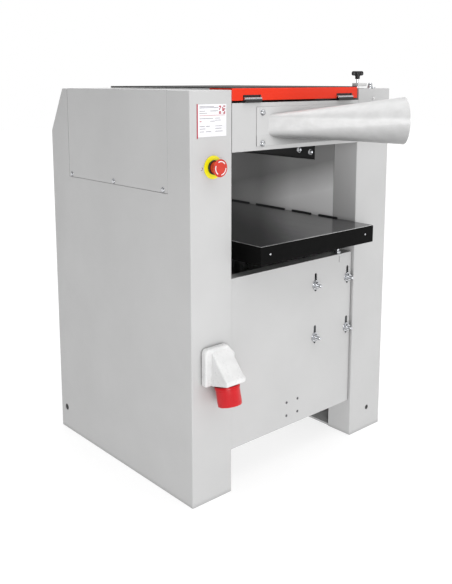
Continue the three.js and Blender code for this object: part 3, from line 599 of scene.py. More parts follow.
# ---------- camera, lights, floor ----------
CAMERA_MM = (-1153.4, -1432.5, 1105.9)
CAMERA_AZIMUTH = radians(-41.625)
CAMERA_ELEVATION = radians(9.561)
LENS = 47.12
SHIFT = (-0.0018, -0.1436)


SIDE_DARK = 0.16
FRONT_DARK = 0.7
OVERHEAD = 0.9
KEY_WATTS = 6
TOP_WATTS = 22
FILL_WATTS = 52
FLOOR_GLOW = 0.76
FLOOR_Z = -0.0004


def make_camera():
    data = bpy.data.cameras.new("camera")
    data.sensor_fit = "VERTICAL"
    data.sensor_height = 36.0
    data.sensor_width = 36.0
    data.lens = LENS
    data.shift_x, data.shift_y = SHIFT
    data.clip_end = 50.0
    camera = bpy.data.objects.new("camera", data)
    camera.location = at(*CAMERA_MM)
    forward = Vector((
        -sin(CAMERA_AZIMUTH) * cos(CAMERA_ELEVATION),
        cos(CAMERA_AZIMUTH) * cos(CAMERA_ELEVATION),
        -sin(CAMERA_ELEVATION),
    ))
    camera.rotation_euler = forward.to_track_quat("-Z", "Y").to_euler()
    scene.collection.objects.link(camera)
    scene.camera = camera


def make_light(name, place, target, size, watts, tint=(1, 1, 1)):
    data = bpy.data.lights.new(name, "AREA")
    data.shape = "RECTANGLE"
    data.size, data.size_y = size
    data.energy = watts
    data.color = tint
    light = bpy.data.objects.new(name, data)
    light.location = place
    light.rotation_euler = (Vector(target) - Vector(place)).to_track_quat("-Z", "Y").to_euler()
    scene.collection.objects.link(light)


def make_studio():
    scene.view_settings.view_transform = "Standard"
    world = bpy.data.worlds.new("studio")
    world.use_nodes = True
    tree = world.node_tree
    background = tree.nodes["Background"]
    background.inputs["Color"].default_value = (1, 1, 1, 1)
    direction = add_node(tree, "ShaderNodeTexCoord")
    parts = add_node(tree, "ShaderNodeSeparateXYZ")
    tree.links.new(direction.outputs["Generated"], parts.inputs[0])
    from_left = spread(tree, parts.outputs["X"], SIDE_DARK, 1.0, -0.85, 0.1)
    from_front = spread(tree, parts.outputs["Y"], FRONT_DARK, 1.0, -0.7, 0.0)
    overhead = spread(tree, parts.outputs["Z"], 0.0, OVERHEAD, 0.7, 0.95)
    strength = calculate(tree, "ADD", calculate(tree, "MULTIPLY", from_left, from_front), overhead)
    tree.links.new(strength, background.inputs["Strength"])
    scene.world = world
    make_light("key", (0.9, -3.4, 2.4), (0, 0, 0.6), (2.0, 2.0), KEY_WATTS)
    make_light("top", (0.2, -0.6, 3.4), (0, 0, 0.5), (2.6, 2.6), TOP_WATTS)
    make_light("fill", (-2.0, -3.0, 1.0), (0.15, 0, 0.75), (1.4, 1.2), FILL_WATTS)
    bm = bmesh.new()
    reach = 14.0
    corners = ((-reach, -reach), (reach, -reach), (reach, reach), (-reach, reach))
    bm.faces.new([bm.verts.new((x, y, FLOOR_Z)) for x, y in corners])
    made, tree, shader = material(
        "studio_floor", (0.26, 0.26, 0.26), 0.7, Emission_Color=(1, 1, 1, 1), Emission_Strength=FLOOR_GLOW)
    floor_noise = noise(tree, object_coordinates(tree), 3.0)
    tree.links.new(two_tones(tree, floor_noise, (0.25, 0.25, 0.25), (0.27, 0.27, 0.27)),
                   shader.inputs["Base Color"])
    floor = loose("floor", bm, made)


# ---------- columns ----------
def column_sheet(name, outer_x, inner_x, cuts, stands_for):
    """One column's shell, folded from sheet with round bends, then cut."""
    bm = bmesh.new()
    outline = ((0, 0), (DEPTH, 0), (DEPTH, CHAMFER_Z), (CHAMFER_Y, HEIGHT), (0, HEIGHT))
    outer = [bm.verts.new(at(outer_x, y, z)) for y, z in outline]
    inner = [bm.verts.new(at(inner_x, y, z)) for y, z in outline]
    bm.faces.new(outer)
    for i in (1, 2, 3, 4):
        j = (i + 1) % 5
        bm.faces.new((outer[i], inner[i], inner[j], outer[j]))
    front = [bm.verts.new(at(inner_x, RETURN_DEPTH - 0.7, z)) for z in (0, HEIGHT)]
    bm.faces.new((inner[0], front[0], front[1], inner[4]))
    rear_top = CHAMFER_Z - 20
    rear = [bm.verts.new(at(inner_x, DEPTH - RETURN_DEPTH, z)) for z in (0, rear_top)]
    bm.faces.new((inner[1], rear[0], rear[1], inner[2]))
    bmesh.ops.recalc_face_normals(bm, faces=bm.faces)
    middle = at((outer_x + inner_x) / 2, DEPTH / 2, HEIGHT / 2)
    side = next(face for face in bm.faces if len(face.verts) == 5)
    if (side.calc_center_median() - middle).dot(side.normal) < 0:
        bmesh.ops.reverse_faces(bm, faces=bm.faces)
    bends = [edge for edge in bm.edges if len(edge.link_faces) == 2]
    bmesh.ops.bevel(
        bm, geom=bends, offset=BEND * MM, segments=5, affect="EDGES", profile=0.5, clamp_overlap=True)
    mesh = bpy.data.meshes.new(name)
    bm.to_mesh(mesh)
    bm.free()
    mesh.materials.append(GREY)
    obj = bpy.data.objects.new(name, mesh)
    scene.collection.objects.link(obj)
    thickness = obj.modifiers.new("sheet", "SOLIDIFY")
    thickness.thickness = SHEET * MM
    thickness.offset = -1
    thickness.use_even_offset = True
    bake(obj)
    cut_with(obj, *cuts)
    return finish(obj, "cabinet", stands_for, angle=32)


COVER_Y = (90.0, 572.0)
COVER_Z = 821.0
LEFT_HOLE = (0.0, 638.0, 70.0)
RIGHT_HOLE = (718.0, 0.0, 69.0)


def make_columns():
    column_sheet("left_column_shell", 0, LEFT_COLUMN_X, [
        box_cutter((-1, COVER_Y[0], COVER_Z), (SHEET + BEND, COVER_Y[1], HEIGHT + 1)),
        round_cutter(at(*LEFT_HOLE), X_AXIS, 10, 12),
        round_cutter(at(ESTOP[0], 0, ESTOP[1]), Y_AXIS, 11, 12),
        round_cutter(at(SELECTOR[0], DEPTH, SELECTOR[1]), Y_AXIS, 6, 12),
        box_cutter((40, DEPTH - 6, 780), (96, DEPTH + 1, 840)),
    ], ["left_column"])
    column_sheet("right_column_shell", WIDTH, RIGHT_COLUMN_X, [
        round_cutter(at(*RIGHT_HOLE), Y_AXIS, 7.6, 12),
        round_cutter(at(LIFT_SHAFT_X, DEPTH, HANDWHEEL_Z), Y_AXIS, 9, 12),
    ], ["right_column"])
    bm = bmesh.new()
    rim = 20
    x = (SHEET - 0.3, SHEET + 2)
    add_box(bm, (x[0], COVER_Y[0] - rim, COVER_Z - rim), (x[1], COVER_Y[0] + rim, HEIGHT - SHEET))
    add_box(bm, (x[0], COVER_Y[1] - rim, COVER_Z - rim), (x[1], COVER_Y[1] + rim, HEIGHT - SHEET))
    add_box(bm, (x[0], COVER_Y[0], COVER_Z - rim), (x[1] - 0.1, COVER_Y[1], COVER_Z + rim))
    piece("cover_rim", bm, GREY, bevel=0.4)


def cross_screw(name, place, axis, radius, height, metal_used=None):
    """A pan-head screw with a cross recess."""
    bm = add_dome(bmesh.new(), place, axis, radius, height)
    obj = loose(name, merged(bm), metal_used or ZINC)
    arm = radius * 0.55
    width = radius * 0.13
    side = Z_AXIS.cross(axis).normalized() if abs(axis.z) < 0.9 else X_AXIS
    top = axis.cross(side).normalized()
    cutters = []
    for long, short in ((side, top), (top, side)):
        corners = [
            place + (long * a + short * b + axis * c) * MM
            for a in (-arm, arm) for b in (-width, width) for c in (height * 0.45, height * 1.4)
        ]
        cutters.append(loose("cutter", fill_box(bmesh.new(), corners), ZINC))
    cut_with(obj, *cutters)
    return finish(obj, "cabinet")


def make_side_cover():
    bm = bmesh.new()
    add_box(bm, (0.0, COVER_Y[0] + 0.9, COVER_Z + 0.9), (2.5, COVER_Y[1] - 0.9, HEIGHT - 0.4))
    piece("side_cover_sheet", bm, GREY, stands_for=["side_cover"], bevel=0.7)
    for i, y in enumerate((110.0, 336.0, 557.0)):
        bm = add_dome(bmesh.new(), at(0.1, y, 829.6), -X_AXIS, 7.4, 3.0)
        piece(f"side_cover_screw_{i + 1}", merged(bm), ZINC, angle=50)


# ---------- dust hood ----------
PORT_R = 62.5
PORT_CENTRE = Vector((547.0, -222.0, 998.0))
PORT_NORMAL = Vector((0.791, -0.612, 0)).normalized()
DUST_BASE_X = (262.0, 600.0)
DUST_BASE_Z = (951.0, 1018.0)
DUST_WALL = 2.0
DUST_SQUARE_TOP = 0.2
DUST_SQUARE_FOOT = 0.42


def dust_ring(share, inset, count):
    """One ring of the hood's wall, in millimetres: share 0 is the rectangle on the beam, 1 the port."""
    across = Vector((-PORT_NORMAL.y, PORT_NORMAL.x, 0))
    half_x = (DUST_BASE_X[1] - DUST_BASE_X[0]) / 2 - inset
    half_z = (DUST_BASE_Z[1] - DUST_BASE_Z[0]) / 2 - inset
    middle = Vector((sum(DUST_BASE_X) / 2, -1.5, sum(DUST_BASE_Z) / 2))
    ring = []
    for i in range(count):
        angle = 2 * pi * i / count
        c, s = cos(angle), sin(angle)
        square = DUST_SQUARE_TOP if s > 0 else DUST_SQUARE_FOOT
        flat = middle + Vector((
            half_x * copysign(abs(c) ** square, c), 0,
            half_z * copysign(abs(s) ** square, s),
        ))
        port = PORT_CENTRE + (across * c + Z_AXIS * s) * (PORT_R - inset)
        ring.append(flat.lerp(port, share))
    return ring


def make_dust_hood():
    count = 128
    steps = 24
    bm = bmesh.new()
    shares = [k / steps for k in range(steps + 1)]
    rings = [dust_ring(share, 0, count) for share in shares]
    rings += [dust_ring(share, DUST_WALL, count) for share in reversed(shares)]
    made = [[bm.verts.new(at(*point)) for point in ring] for ring in rings]
    made.append(made[0])
    bridge(bm, made)
    piece("dust_hood_body", bm, WHITE, stands_for=["dust_hood"], angle=50)
    bm = add_box(bmesh.new(), (221.0, -2.3, 934.0), (612.0, -0.3, 1035.6))
    plate = loose("dust_hood_plate", bm, PLATE)
    cut_with(plate, box_cutter((285, -10, 962), (580, 10, 1006)))
    finish(plate, "cabinet", bevel=0.5, segments=2)
    for i, z in enumerate((940.5, 1021.5)):
        bm = bmesh.new()
        place = at(241.5, -2.3, z)
        add_tube(bm, ring_profile(4, 8.4, 0, 1.2, 0.3), place, -Y_AXIS, 40)
        add_dome(bm, place - Y_AXIS * 1.2 * MM, -Y_AXIS, 7.2, 4.8)
        piece(f"dust_hood_bolt_{i + 1}", bm, ZINC)


# ---------- chip cover ----------
def add_knuckle(bm, low, high):
    """One knuckle of a hinge, between two places along its pin."""
    length = high - low
    profile = [(0, 0), (0, 3.6), (0.4, 4.1), (length - 0.4, 4.1), (length, 3.6), (length, 0)]
    add_turned(bm, profile, at(low, HINGE_Y, HINGE_Z), X_AXIS, 32)


def make_chip_cover():
    x = (COVER_LOW.x, COVER_HIGH.x)
    y = (0.0, 551.0)
    z = (1053.0, COVER_HIGH.z - 1.3)
    bm = bmesh.new()
    corners = ((x[0], y[0]), (x[1], y[0]), (x[1], y[1]), (x[0], y[1]))
    foot, top = [[bm.verts.new(at(a, b, level)) for a, b in corners] for level in z]
    bm.faces.new(top)
    bridge(bm, [foot, top])
    bmesh.ops.recalc_face_normals(bm, faces=bm.faces)
    roof = next(face for face in bm.faces if abs(face.normal.z) > 0.9)
    if roof.normal.z < 0:
        bmesh.ops.reverse_faces(bm, faces=bm.faces)
    bends = [edge for edge in bm.edges if len(edge.link_faces) == 2]
    bmesh.ops.bevel(bm, geom=bends, offset=3.2 * MM, segments=4, affect="EDGES", profile=0.5)
    obj = loose("chip_cover_sheet", bm, [RED, GREY])
    thickness = obj.modifiers.new("sheet", "SOLIDIFY")
    thickness.thickness = 2.5 * MM
    thickness.offset = -1
    bake(obj)
    cut_with(obj, *[box_cutter((a - 1.5, -5, 1040), (b + 1.5, 8, HINGE_Z + 10)) for a, b in HINGES_X])
    bm = bmesh.new()
    bm.from_mesh(obj.data)
    split = at(0, RETURN_DEPTH, 0)
    bmesh.ops.bisect_plane(bm, geom=[*bm.verts, *bm.edges, *bm.faces], plane_co=split, plane_no=Y_AXIS)
    for face in bm.faces:
        if face.calc_center_median().y > split.y:
            face.material_index = 1
    bm.to_mesh(obj.data)
    bm.free()
    finish(obj, "chip_cover", ["chip_cover"])
    bm = add_box(bmesh.new(), (x[0] + 0.5, 2.5, z[1] - 0.2), (x[1] - 3.0, y[1] - 0.5, z[1] + 2.0))
    piece("chip_cover_mat", bm, RUBBER, "chip_cover", slot="black_plastic", bevel=0.7)
    for i, (a, b) in enumerate(HINGES_X):
        third = (b - a) / 3
        fixed = bmesh.new()
        add_box(fixed, (a, -3, 1047.3), (b, 26, 1049.6), 1)
        # The black lip in front of the knuckles' lower half is a dark sheet put in as painted shade, for the
        # dark lower half of the knuckles' reflection.
        add_box(fixed, (a + 1, -7.0, 1047.3), (b - 1, -6.3, 1055.4), 1)
        add_box(fixed, (a + 1, -6.6, 1047.3), (b - 1, -2.6, 1048.4), 1)
        for low, high in ((a, a + third), (b - third, b)):
            add_box(fixed, (low, HINGE_Y - 2.2, 1049.3), (high, HINGE_Y + 1.2, HINGE_Z), 1)
            add_knuckle(fixed, low, high)
        piece(f"hinge_{i + 1}_fixed_leaf", fixed, [ZINC, BLACK_COAT], stands_for=[f"hinge_{i + 1}"])
        moving = bmesh.new()
        low, high = a + third + 0.6, b - third - 0.6
        add_knuckle(moving, low, high)
        add_box(moving, (low, HINGE_Y, HINGE_Z + 1), (high, 4.5, HINGE_Z + 3.4), 1)
        add_box(moving, (a + 3, 2.6, HINGE_Z + 1), (b - 3, 4.6, 1079), 1)
        piece(f"hinge_{i + 1}_moving_leaf", moving, [ZINC, BLACK_COAT], "chip_cover")


def make_clamp():
    z = 1085.8
    bm = add_box(bmesh.new(), (630, 0, z), (671, 22, z + 9.5))
    plate = loose("clamp_plate_steel", bm, WHITE)
    cut_with(plate, round_cutter(at(KNOB[0], KNOB[1], z), Z_AXIS, 3.6, 30))
    finish(plate, "chip_cover", ["clamp_plate"], bevel=0.8)
    bm = bmesh.new()
    lobes = 5
    steps = 90
    levels = ((1116.8, 0.72), (1117.6, 0.88), (1119.8, 0.98), (1123.0, 1.0), (1126.4, 0.98), (1128.8, 0.9),
              (1129.8, 0.76))
    rings = []
    for level, factor in levels:
        ring = []
        for i in range(steps):
            angle = 2 * pi * i / steps
            reach = (13.8 + 4.1 * cos(lobes * angle)) * factor
            ring.append(at(KNOB[0] + reach * cos(angle), KNOB[1] + reach * sin(angle), level))
        rings.append(ring)
    add_stack(bm, rings)
    place = at(KNOB[0], KNOB[1], 1107)
    add_turned(bm, [(0, 0), (0, 6), (0.8, 6.8), (7, 7.0), (11, 8.4), (11, 0)], place, Z_AXIS, 40)
    piece("clamp_knob_star", bm, BLACK, "clamp_knob", stands_for=["clamp_knob"], angle=45)
    bm = bmesh.new()
    stud = [(0, 0), (0, 2.4), (0.8, 3.0), (27, 3.0), (27, 0)]
    add_turned(bm, stud, at(*KNOB, HEIGHT + 0.3), Z_AXIS, 24)
    piece("clamp_knob_stud", bm, ZINC, "clamp_knob")
    bm = bmesh.new()
    place = at(699, 10, HEIGHT)
    add_tube(bm, ring_profile(3, 9.5, 0.05, 1.6, 0.2), place, Z_AXIS, 40)
    add_nut(bm, place + Z_AXIS * 1.6 * MM, Z_AXIS, 8.4, 6)
    dome = [(0, 0), (0, 7.0)]
    turns = [radians(15 * k) for k in range(6)]
    dome += [(1 + 9.5 * sin(angle), 7.0 * cos(angle)) for angle in turns]
    dome.append((10.5, 0))
    add_turned(bm, dome, place + Z_AXIS * 7.4 * MM, Z_AXIS, 40)
    piece("acorn_bolt", bm, ZINC)
    cross_screw("column_top_screw", at(718, 12, HEIGHT), Z_AXIS, 5.5, 5.0)


# ---------- table ----------
def make_table():
    bm = bmesh.new()
    low, high = TABLE_LOW, TABLE_HIGH
    chamfer = 0.9
    wall = 14.0
    rings = []
    for z, inset in ((high.z, chamfer), (high.z - chamfer, 0), (low.z + 1.0, 0), (low.z, 1.0)):
        rings.append([bm.verts.new(at(x, y, z)) for x, y in (
            (low.x + inset, low.y + inset), (high.x - inset, low.y + inset),
            (high.x - inset, high.y - inset), (low.x + inset, high.y - inset))])
    bm.faces.new(rings[0]).material_index = 0
    bridge(bm, rings[:2], 1)
    bridge(bm, rings[1:], 2)
    bm.faces.new(list(reversed(rings[-1]))).material_index = 2
    obj = loose("table_casting", bm, [TABLE_IRON, EDGE_STEEL, APRON])
    columns, rows, rib = 2, 3, 10.0
    pocket_x = (high.x - low.x - 2 * wall - (columns - 1) * rib) / columns
    pocket_y = (high.y - low.y - 2 * wall - (rows - 1) * rib) / rows
    cutters = []
    for i in range(columns):
        for j in range(rows):
            x = low.x + wall + i * (pocket_x + rib)
            y = low.y + wall + j * (pocket_y + rib)
            cutter = box_cutter((x, y, low.z - 5), (x + pocket_x, y + pocket_y, high.z - wall))
            cutter.data.materials.clear()
            for item in (TABLE_IRON, EDGE_STEEL, APRON):
                cutter.data.materials.append(item)
            for polygon in cutter.data.polygons:
                polygon.material_index = 2
            cutters.append(cutter)
    cut_with(obj, *cutters)
    finish(obj, "table", ["table"], angle=25)
    for i, x in enumerate((207.5, 595.0)):
        bm = add_dome(bmesh.new(), at(x, low.y + 0.4, 661.4), -Y_AXIS, 3.0, 1.2)
        piece(f"table_screw_{i + 1}", merged(bm), ZINC, "table", angle=50)
    strip = bmesh.new()
    x = (node_box("table_edge_strip")[0].x, node_box("table_edge_strip")[1].x)
    add_box(strip, (x[0], 50, high.z - 12), (x[1], 600, high.z - 1.0))
    radius = 2.5
    turns = [pi / 12 * k for k in range(7)]
    for start, end in ((69, 145), (176, 260), (293, 428), (462, 550)):
        outline = [(start, -1.5), (end, -1.5)]
        outline += [(end - radius * (1 - cos(a)), 1.5 + radius * sin(a)) for a in turns]
        outline += [(start + radius * (1 - sin(a)), 1.5 + radius * cos(a)) for a in turns]
        add_prism(strip, outline, at(x[0], 0, high.z), X_AXIS, x[1] - x[0])
    piece("table_edge_tabs", strip, BLACK, "table", stands_for=["table_edge_strip"], bevel=0.3)


# ---------- lower panel ----------
def make_panel_fasteners():
    for i, (x, z) in enumerate(MOTOR_BOLTS):
        bm = bmesh.new()
        face = at(x, PANEL_Y - 0.1, z)
        add_tube(bm, ring_profile(5.2, 14, 0, 2.0, 0.25), face, -Y_AXIS, 48)
        add_nut(bm, face - Y_AXIS * 2.0 * MM, -Y_AXIS, 10.6, 8.4)
        add_turned(bm, [(0, 0), (0, 4.9), (22.2, 4.9), (22.9, 4.2), (22.9, 0)], face, -Y_AXIS, 32)
        add_rod(bm, (0, 18), 5, face, Y_AXIS, 24)
        piece(f"motor_bolt_set_{i + 1}", bm, ZINC, stands_for=[f"motor_bolt_{i + 1}"])
    for i, (x, z) in enumerate((x, z) for x in (358.0, 404.0) for z in (146.0, 186.0)):
        cross_screw(f"panel_screw_{i + 1}", at(x, PANEL_Y, z), -Y_AXIS, 3.8, 1.6, metal_used=GREY_CAST)
    bm = bmesh.new()
    base = at(TENSION[0], TENSION[1], 591.8)
    add_turned(bm, [(-58, 0), (-58, 4.9), (21.5, 4.9), (22.2, 4.2), (22.2, 0)], base, Z_AXIS, 32)
    add_nut(bm, base, Z_AXIS, 10.2, 8.6)
    piece("tension_screw_set", bm, ZINC, stands_for=["tension_screw"])


# ---------- electrical parts ----------
def make_estop():
    place = at(ESTOP[0], 0, ESTOP[1])
    bm = add_tube(bmesh.new(), ring_profile(9.5, 29.2, 0.3, 2.0, 0.3), place, -Y_AXIS, 72)
    piece("estop_legend_plate", bm, YELLOW, stands_for=["estop_plate"])
    bm = bmesh.new()
    add_tube(bm, [(2.3, 8.2), (2.3, 17.8), (2.7, 18.2), (7.4, 18.2), (8.0, 17.6), (8.0, 16.6), (7.6, 16.2),
                  (2.9, 16.2), (2.9, 8.2)], place, -Y_AXIS, 64)
    piece("estop_collar_ring", bm, BLACK, stands_for=["estop_collar"])
    bm = bmesh.new()
    add_turned(bm, [(0.2, 0), (0.2, 7.2), (8.2, 7.2), (8.2, 15.0), (8.8, 15.5), (17.0, 15.2), (20.5, 16.4),
                    (25.4, 21.4), (27.0, 22.3), (28.4, 22.3), (29.4, 21.4), (29.6, 19.6), (29.1, 18.9),
                    (29.9, 12.0), (29.9, 0)], place, -Y_AXIS, 72)
    piece("estop_mushroom", bm, ESTOP_RED, "estop_button", stands_for=["estop_button"], angle=40)
    bm = bmesh.new()
    for k in range(3):
        start = radians(120 * k + 36)
        sweep = radians(82)
        steps = 18
        inner, outer = [], []
        for i in range(steps + 1):
            angle = start + sweep * i / steps
            direction = Vector((cos(angle), 0, sin(angle)))
            inner.append(direction * 15.4)
            outer.append(direction * 17.8)
        outline = inner + list(reversed(outer))
        add_stack(bm, [[place + (point - Y_AXIS * out) * MM for point in outline] for out in (29.97, 29.57)])
    piece("estop_turn_marks", bm, PRINT_WHITE, "estop_button")
    cross_screw("estop_side_screw", at(37.0, 0, 889.7), -Y_AXIS, 3.6, 1.8)


INLET_TILT = radians(13.6)


def make_inlet():
    bm = bmesh.new()
    outline = ((30, 330), (131, 330), (131, 402), (105, 430), (37, 430), (30, 423))
    add_stack(bm, [[at(x, y, z) for x, z in outline] for y in (-20, -0.3)])
    piece("inlet_base", bm, WHITE_PLASTIC, stands_for=["inlet_housing"], bevel=5.0, segments=5)
    bm = bmesh.new()
    profile = ((-17, 328.5), (-79, 343.6), (-79.6, 356), (-68, 363.5), (-17, 424))
    add_stack(bm, [[at(x, y, z) for y, z in profile] for x in (49.5, 114.5)])
    piece("inlet_nose", bm, WHITE_PLASTIC, bevel=4.0, segments=5)
    axis = Vector((0, -sin(INLET_TILT), -cos(INLET_TILT)))
    place = at(82, -42, 332.0)
    bm = bmesh.new()
    add_tube(bm, [(0.2, 5), (0.2, 32.4), (0.8, 32.9), (7.2, 32.9), (8.0, 31.6), (50.4, 31.2), (51.6, 30.2),
                  (51.6, 27.4), (50.8, 26.7), (12, 26.7), (12, 5)], place, axis, 80)
    piece("inlet_socket", bm, SIGNAL_RED, stands_for=["inlet_collar"], angle=40)
    bm = bmesh.new()
    side = X_AXIS
    depth = axis.cross(side).normalized()
    for k in range(28):
        angle = 2 * pi * k / 28
        direction = side * cos(angle) + depth * sin(angle)
        add_rod(bm, (11, 46), 0.55, place + direction * 31.1 * MM, axis, 8)
    piece("inlet_socket_ribs", bm, SIGNAL_RED)
    bm = add_rod(bmesh.new(), (4, 12.4), 24, place, axis, 48)
    for k in range(5):
        angle = 2 * pi * (k + 0.25) / 5
        direction = side * cos(angle) + depth * sin(angle)
        pin = [(12, 0), (12, 2.6), (38, 2.6), (40, 1.6), (40, 0)]
        add_turned(bm, pin, place + direction * 15.5 * MM, axis, 16, 1)
    piece("inlet_contacts", bm, [BLACK, ZINC], slot="red_plastic")
    for i, x in enumerate((39.5, 124.5)):
        cross_screw(f"inlet_screw_{i + 1}", at(x, -20, 387), -Y_AXIS, 3.4, 1.2, metal_used=WHITE_PLASTIC)


def make_rating_plate():
    x = (22.0, 116.5)
    z = (967.0, 1046.5)
    face = -0.9
    bm = add_box(bmesh.new(), (x[0], face, z[0]), (x[1], 0.0, z[1]))
    piece("rating_plate", bm, PRINT_WHITE, bevel=0.25)
    red = bmesh.new()
    add_box(red, (x[0] - 0.2, face - 0.1, z[0] - 3.5), (x[0] + 2.6, -0.05, z[1] + 0.6))
    add_box(red, (x[0] + 8, face - 0.12, z[1] - 27.8), (x[1] - 5, face + 0.2, z[1] - 27.0))
    add_box(red, (x[0] + 8, face - 0.12, z[1] - 42.6), (x[0] + 14, face + 0.2, z[1] - 40.8))
    cell = 3.4
    for i in range(6):
        for j in range(6):
            if (i * i + 3 * j + i * j) % 5 < 3:
                low = (x[1] - 24 + i * cell, face - 0.12, z[1] - 4 - (j + 1) * cell)
                add_box(red, low, (low[0] + cell - 0.4, face + 0.2, low[2] + cell - 0.4))
    piece("rating_plate_red", red, PRINT_RED)
    grey = bmesh.new()
    columns = {
        8: ((5, 46), (8, 60), (16, 18), (21, 24), (34, 43), (53, 16), (59, 18), (66, 14)),
        28: ((53, 12), (66, 16)),
        42: ((16, 24), (41, 16)),
        58: ((34, 16), (39, 18), (53, 22), (59, 20), (66, 24)),
    }
    for start, rows in columns.items():
        for drop, length in rows:
            left, top = x[0] + start, z[1] - drop
            add_box(grey, (left, face - 0.1, top - 1.3), (left + length, face + 0.2, top))
    piece("rating_plate_rows", grey, PRINT_GREY)


def make_controls():
    low, high = node_box("control_box")
    bm = add_box(bmesh.new(), (34, low.y, 770), (102, high.y - 1, 850))
    box = loose("control_box_case", bm, BLACK)
    holes = [round_cutter(at(x, DEPTH + 30, BUTTONS_Z), Y_AXIS, 10.6, 80) for x in (START_X, STOP_X)]
    cut_with(box, *holes)
    finish(box, "cabinet", ["control_box"], bevel=2.0)
    for name, x, length, coat, slot in (("start", START_X, 33.6, GREEN, "green_plastic"),
                                        ("stop", STOP_X, 35.6, SIGNAL_RED, "red_plastic")):
        profile = [(0.1, 0), (0.1, 10), (length - 1.4, 10), (length - 0.3, 9.2), (length, 8), (length, 0)]
        bm = add_turned(bmesh.new(), profile, at(x, DEPTH + 0.4, BUTTONS_Z), Y_AXIS, 48)
        piece(f"{name}_button_cap", bm, coat, f"{name}_button", slot=slot, stands_for=[f"{name}_button"])
        bm = bmesh.new()
        add_tube(bm, ring_profile(10.6, 13, 0, 2.2, 0.5), at(x, high.y - 1.3, BUTTONS_Z), Y_AXIS, 48)
        piece(f"{name}_button_bezel", bm, ZINC)


# ---------- handwheel and knobs ----------
def make_handwheel():
    centre = at(LIFT_SHAFT_X, HANDWHEEL_Y, HANDWHEEL_Z)
    bm = bmesh.new()
    around, tube = 72, 20
    for i in range(around):
        a = 2 * pi * i / around
        radial = Vector((cos(a), 0, sin(a)))
        for j in range(tube):
            b = 2 * pi * j / tube
            tube_side = radial * (HANDWHEEL_R + 7.6 * cos(b)) + Y_AXIS * 7.0 * sin(b)
            bm.verts.new(centre + tube_side * MM)
    bm.verts.ensure_lookup_table()
    for i in range(around):
        for j in range(tube):
            a, b = i * tube + j, i * tube + (j + 1) % tube
            c, d = ((i + 1) % around) * tube + (j + 1) % tube, ((i + 1) % around) * tube + j
            bm.faces.new([bm.verts[k] for k in (a, b, c, d)])
    for k in range(3):
        angle = radians(90 + 120 * k)
        radial = Vector((cos(angle), 0, sin(angle)))
        add_turned(bm, [(8, 0), (8, 6.5), (30, 5.2), (56, 5.8), (56, 0)], centre, radial, 24)
    hub = [(0, 0), (0, 16.5), (1, 17.6), (22, 17.6), (34, 16), (39, 14.5), (40, 13), (40, 0)]
    add_turned(bm, hub, at(LIFT_SHAFT_X, DEPTH + 5, HANDWHEEL_Z), Y_AXIS, 56)
    piece("handwheel_rim", bm, BLACK_COAT, "handwheel", stands_for=["handwheel"], angle=40)
    pin = at(LIFT_SHAFT_X, HANDWHEEL_Y, HANDWHEEL_Z + HANDWHEEL_R)
    profile = [(5, 0), (5, 4), (60, 4), (60, 6.4), (60.6, 6.9), (62, 6.9), (62.6, 6.2), (62.6, 0)]
    piece("handwheel_pin", add_turned(bmesh.new(), profile, pin, Y_AXIS, 32), ZINC, "handwheel")
    profile = [(10, 4.6), (10, 8.4), (10.8, 9.2), (17, 10.9), (24, 11.8), (33, 11.6), (42, 10.4), (52, 8.7),
               (58.2, 8.0), (59, 7.2), (59, 4.6)]
    bm = add_tube(bmesh.new(), profile, pin, Y_AXIS, 48)
    piece("handwheel_grip_body", bm, BLACK, "handwheel_grip", stands_for=["handwheel_grip"], angle=40)
    profile = [(352, 0), (352, 4.9), (700, 4.9), (700, 10.5), (702, 12), (712, 13), (722, 16.2), (725, 16.4),
               (726, 14.8), (726, 0)]
    bm = add_turned(bmesh.new(), profile, at(SELECTOR[0], 0, SELECTOR[1]), Y_AXIS, 48)
    piece("feed_selector_rod", bm, BLACK, "feed_selector", stands_for=["feed_selector"], angle=40)


# ---------- small fixed parts ----------
def make_small_parts():
    for name, hole, axis, radius in (("left", LEFT_HOLE, X_AXIS, 9.9), ("right", RIGHT_HOLE, Y_AXIS, 7.5)):
        profile = [(1.6, 0), (1.6, radius - 0.6), (2.2, radius), (9, radius), (9, 0)]
        bm = add_turned(bmesh.new(), profile, at(*hole), axis, 40)
        piece(f"{name}_hole_plug", bm, RUBBER, slot="black_plastic")
    bm = bmesh.new()
    add_turned(bm, [(0, 0), (0, 3.6), (5.5, 3.4), (6.6, 2.4), (7, 0)], at(701, 0, 1050), -Y_AXIS, 32)
    piece("white_cap", bm, WHITE_PLASTIC, angle=50)
    casting_x = node_box("right_head_casting")[0].x
    for i, (y, z) in enumerate(((239.0, 884.0), (190.0, 880.0))):
        bm = bmesh.new()
        add_tube(bm, ring_profile(4, 9.4, 0, 1.4, 0.3), at(casting_x - 0.1, y, z), -X_AXIS, 36)
        add_nut(bm, at(casting_x - 1.5, y, z), -X_AXIS, 7.2, 4.4)
        piece(f"casting_bolt_{i + 1}", bm, ZINC)


